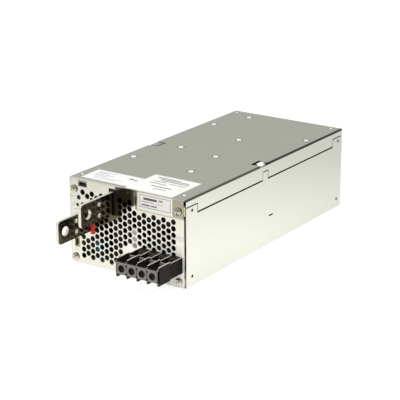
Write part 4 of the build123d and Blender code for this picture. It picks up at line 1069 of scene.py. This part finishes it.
contact_y = -145.2 * MM
seat = contact_y - 1.8 * MM
washer_back = contact_y - 1.0 * MM
washer_half = 3.8 * MM
terminal_head = pan_head_mesh("terminal_head", 3.6 * MM, 2.5 * MM, 28, 0.8 * MM)
terminal_parts = []
for x in pole_x:
    place = Matrix.Translation((x, seat, terminal_z)) @ facing_front @ turned_at_random()
    terminal_parts.append((terminal_head, place))
    washer = (
        (x - washer_half, seat, terminal_z - washer_half),
        (x + washer_half, washer_back, terminal_z + washer_half),
    )
    terminal_parts.append((box_mesh("washer", washer, 0.2 * MM), still))
shaded_screw_steel = finish_material(
    "shaded_screw_steel", (0.10, 0.095, 0.08), (1200.0, 0.10), (300.0, 0.25), (0.35, 0.15), 1.0
)
wire_screws_mesh = join_meshes("wire_screws", terminal_parts)
wire_screws = link_object("wire_screws", wire_screws_mesh, shaded_screw_steel, recess_shadow)
smooth_round(wire_screws_mesh, 40.0)
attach(wire_screws, "case")
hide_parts("terminal_screws")
tinned_brass = finish_material(
    "tinned_brass", (0.78, 0.74, 0.62), (900.0, 0.1), (150.0, 0.2), (0.32, 0.12), 1.0
)
dress(tinned_brass, "terminal_plates", "fuse_clips")


# Labels: thin white printed film stuck on the cover and on the flap.
# The print is only plain grey bars and a thin frame, as a blank form would have.
def frame_bars(x0, x1, v0, v1, line, tone):
    """Four thin bars that make a frame."""
    return [
        (x0, x1, v0, v0 + line, tone),
        (x0, x1, v1 - line, v1, tone),
        (x0, x0 + line, v0, v1, tone),
        (x1 - line, x1, v0, v1, tone),
    ]


front_bars = [
    (19.5, 34.0, 75.2, 77.4, 0.95),
    (36.0, 40.5, 75.9, 77.3, 0.85),
    (17.0, 31.0, 72.9, 74.0, 0.5),
    (33.0, 40.0, 72.9, 73.8, 0.35),
    (17.5, 26.5, 69.7, 71.2, 0.85),
    (27.5, 34.0, 69.7, 71.2, 0.75),
]
front_bars += frame_bars(15.4, 48.6, 67.9, 79.6, 0.5, 0.85)
right_bars = [
    (5.0, 30.0, -98.0, -96.2, 0.85),
    (9.0, 41.0, -101.2, -99.4, 0.95),
    (13.0, 44.0, -104.8, -103.0, 0.90),
    (8.0, 22.0, -108.6, -107.0, 0.85),
    (25.0, 44.0, -109.8, -108.2, 0.75),
    (7.0, 26.0, -114.2, -112.4, 0.80),
    (14.0, 36.0, -121.6, -119.6, 0.90),
    (20.0, 34.0, -127.2, -125.6, 0.80),
]
right_bars += frame_bars(0.2, 47.4, -137.3, -93.4, 0.25, 0.12)
left_bars = [
    (-12.8, -8.5, -117.6, -115.0, 1.0),
    (-7.0, -3.6, -119.0, -116.6, 0.95),
    (-49.0, -30.0, -113.6, -112.2, 0.58),
    (-49.0, -36.0, -116.8, -115.4, 0.53),
    (-49.0, -28.0, -120.2, -118.8, 0.53),
    (-48.0, -33.0, -123.6, -122.2, 0.53),
    (-46.0, -14.0, -127.0, -125.8, 0.48),
    (-44.0, -20.0, -130.4, -129.2, 0.48),
]
left_bars += frame_bars(-52.5, -3.0, -133.5, -110.0, 0.3, 0.35)
for node_name, name, film, ink, across, bars in (
    ("front_label", "front_label_film", (0.70, 0.68, 0.645), (0.05, 0.05, 0.06), "Z", front_bars),
    ("top_label_right", "right_label_film", (0.80, 0.80, 0.77), (0.10, 0.10, 0.10), "Y", right_bars),
    ("top_label_left", "left_label_film", (0.80, 0.80, 0.78), (0.07, 0.07, 0.08), "Y", left_bars),
):
    label_film = finish_material(name, film, (900.0, 0.02), (40.0, 0.03), (0.38, 0.06), 0.0, 0.0, 0.4)
    paint_spots(label_film, ink, flat_spots(across, bars))
    dress(label_film, node_name)


# Circuit boards: green glass epoxy laminate with a faint weave, standing and lying inside the case.
# The insulating film under the main board is milky polyester, and steel screws and standoffs hold it.
board_green = finish_material(
    "board_laminate", (0.014, 0.036, 0.018), (1100.0, 0.3), (60.0, 0.25), (0.42, 0.1), 0.0, 0.04
)
milky_film = finish_material("milky_film", (0.62, 0.62, 0.58), (600.0, 0.05), (30.0, 0.1), (0.35, 0.08))
dress(board_green, "main_board", "signal_board", "control_board")
dress(milky_film, "insulating_film")
dress(screw_steel, "board_screws", "board_standoffs")


# Signal parts behind the left edge of the panel: two header sockets, the trimmer and the lamp.
# The upper header is dark with a bright strip at its top, and the lower socket is cream nylon.
# The trimmer is dark blue with a dull brass rotor, and the lamp has a dark green cap.
cream_nylon = finish_material(
    "cream_nylon", (0.50, 0.43, 0.22), (900.0, 0.1), (200.0, 0.15), (0.45, 0.1)
)
dull_brass = finish_material(
    "dull_trimmer_brass", (0.09, 0.08, 0.06), (900.0, 0.2), (300.0, 0.2), (0.45, 0.1), 0.6
)
blue_trimmer = finish_material(
    "blue_trimmer_resin", (0.02, 0.035, 0.08), (900.0, 0.1), (200.0, 0.15), (0.40, 0.1)
)
lamp_cap = finish_material(
    "green_lamp_cap", (0.02, 0.05, 0.02), (900.0, 0.1), (300.0, 0.1), (0.25, 0.05)
)
dark_header = finish_material(
    "dark_header_resin", (0.022, 0.028, 0.020), (900.0, 0.2), (200.0, 0.3), (0.40, 0.1)
)
bright_strip = {"X": signal_x, "Z": (signal_window[3] - 1.7 * MM, signal_window[3] - 0.9 * MM)}
shaded_end = {"X": (remote_window[0] - MM, remote_window[0] + 2.2 * MM)}
paint_spots(dark_header, (0.55, 0.55, 0.46), [(bright_strip, 0.9)])
paint_spots(cream_nylon, (0.01, 0.01, 0.008), [(shaded_end, 0.95)])
dress(dark_header, "signal_connector")
dress(cream_nylon, "remote_connector")
dress(blue_trimmer, "trimmer_body")
dress(dull_brass, "trimmer_rotor")
dress(lamp_cap, "status_lamp")


# Heatsinks and shield: the heatsinks are bare aluminium with drawing lines along the metal.
# The shield is pale plated sheet with painted shade behind its bright front edge, and a narrow flange
# there.
# All stand on the main board, and the heatsinks hold the power packages.
drawn_lines = (1.0, 0.06, 1.0)
bare_aluminium = finish_material(
    "bare_aluminium", (0.78, 0.78, 0.77), (800.0, 0.15), (40.0, 0.1), (0.34, 0.12), 1.0,
    stretch=drawn_lines,
)
shield_plating = finish_material(
    "shield_plating", (0.95, 0.95, 0.92), (800.0, 0.1), (40.0, 0.1), (0.45, 0.12), stretch=drawn_lines
)
shield_low, shield_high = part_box("filter_shield")
# Painted shade on the shield behind its front edge.
shade_behind_edge = {"Y": (shield_low.y + 0.8 * MM, shield_high.y + MM)}
flange_face = {"X": (-MM, shield_low.x - 0.1 * MM)}
paint_spots(shield_plating, (0.02, 0.02, 0.02), [(shade_behind_edge, 0.97)])
paint_spots(shield_plating, (0.85, 0.82, 0.70), [(flange_face, 0.85)])
dress(bare_aluminium, "primary_heatsink", "output_heatsink")
dress(shield_plating, "filter_shield")
flange_corners = (
    (shield_low.x - 3.6 * MM, shield_low.y, shield_low.z + MM),
    (shield_low.x, shield_low.y + 0.7 * MM, shield_high.z),
)
shield_flange = link_object(
    "shield_flange", box_mesh("shield_flange", flange_corners, 0.1 * MM), shield_plating
)
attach(shield_flange, "case")


# Chokes and transformer: dark sintered ferrite and powder rings, enamelled copper and yellow coil tape.
# The rings stand on black moulded feet, and only the upper turns of the copper catch the light.
ferrite = finish_material(
    "sintered_ferrite", (0.045, 0.045, 0.048), (1200.0, 0.4), (150.0, 0.3), (0.60, 0.15)
)
enamelled_copper = finish_material(
    "enamelled_copper", (0.22, 0.05, 0.03), (900.0, 0.15), (200.0, 0.25), (0.28, 0.1), 1.0
)
coil_tape = finish_material(
    "yellow_coil_tape", (0.55, 0.40, 0.09), (500.0, 0.1), (60.0, 0.15), (0.35, 0.1)
)
shaded_turns = [({"Z": (0.0, 47.0 * MM)}, 0.85), ({"X": (26.0 * MM, half_width)}, 0.85)]
paint_spots(enamelled_copper, (0.01, 0.008, 0.01), shaded_turns)
dress(ferrite, "line_choke_core", "pfc_choke_core", "main_transformer_core", "output_choke_core")
dress(enamelled_copper, "line_choke_winding", "pfc_choke_winding", "output_choke_coil")
dress(coil_tape, "main_transformer_coil")


# Capacitors, fuse and relay: sleeved cans, boxed film types, a ceramic fuse and a sealed relay.
# Their cases are moulded or shrink sleeves in dark colours.
# The tops of the front cans are printed, one purple grey and the other red.
can_sleeve = finish_material(
    "shrink_sleeve", (0.03, 0.035, 0.055), (700.0, 0.2), (60.0, 0.2), (0.30, 0.1)
)
film_box = finish_material(
    "film_capacitor_box", (0.07, 0.17, 0.42), (900.0, 0.1), (80.0, 0.15), (0.35, 0.1)
)
fuse_ceramic = finish_material(
    "fuse_ceramic", (0.72, 0.70, 0.64), (1200.0, 0.08), (100.0, 0.1), (0.35, 0.08)
)
relay_case = finish_material("relay_case", (0.05, 0.06, 0.12), (900.0, 0.1), (90.0, 0.15), (0.30, 0.08))
purple_grey = (0.62, 0.56, 0.68)
bright_red = (0.95, 0.22, 0.20)
can_tops = (30.5 * MM, 34.5 * MM)
for ink, front, rear in ((purple_grey, -90.0, -80.5), (bright_red, -80.5, -70.0)):
    paint_spots(can_sleeve, ink, [({"Y": (front * MM, rear * MM), "Z": can_tops}, 0.9)])
dress(can_sleeve, "bulk_capacitors", "output_capacitors")
dress(film_box, "film_capacitors")
dress(fuse_ceramic, "line_fuse")
dress(relay_case, "inrush_relay")


# Packages and small moulded parts: transistors, rectifiers, chips, feet and the bar support.
# All are black filled resin, and the front of the bar support carries a teal face.
support_resin = finish_material(
    "support_resin", black, (1200.0, 0.2), (90.0, 0.2), (0.45, 0.1), 0.0, 0.04, 0.2
)
teal_face = {"X": (-41.2 * MM, -36.0 * MM), "Z": (10.0 * MM, 23.5 * MM)}
paint_spots(support_resin, (0.008, 0.13, 0.18), [(teal_face, 1.0)])
dress(black_resin, "power_transistors", "bridge_rectifier", "output_rectifiers", "control_chips")
dress(black_resin, "choke_carriers")
dress(support_resin, "busbar_support")


# Fans: two 60 mm axial fans screwed to the rear panel, with glass filled black frames and rotors.
# The rotors turn on their shafts inside the frames.
fan_resin = finish_material(
    "fan_resin", (0.022, 0.022, 0.022), (1200.0, 0.3), (80.0, 0.2), (0.48, 0.1), 0.0, 0.04
)
dress(fan_resin, "fan_frame_left", "fan_frame_right", "fan_rotor_left", "fan_rotor_right")
dress(screw_steel, "fan_screws")
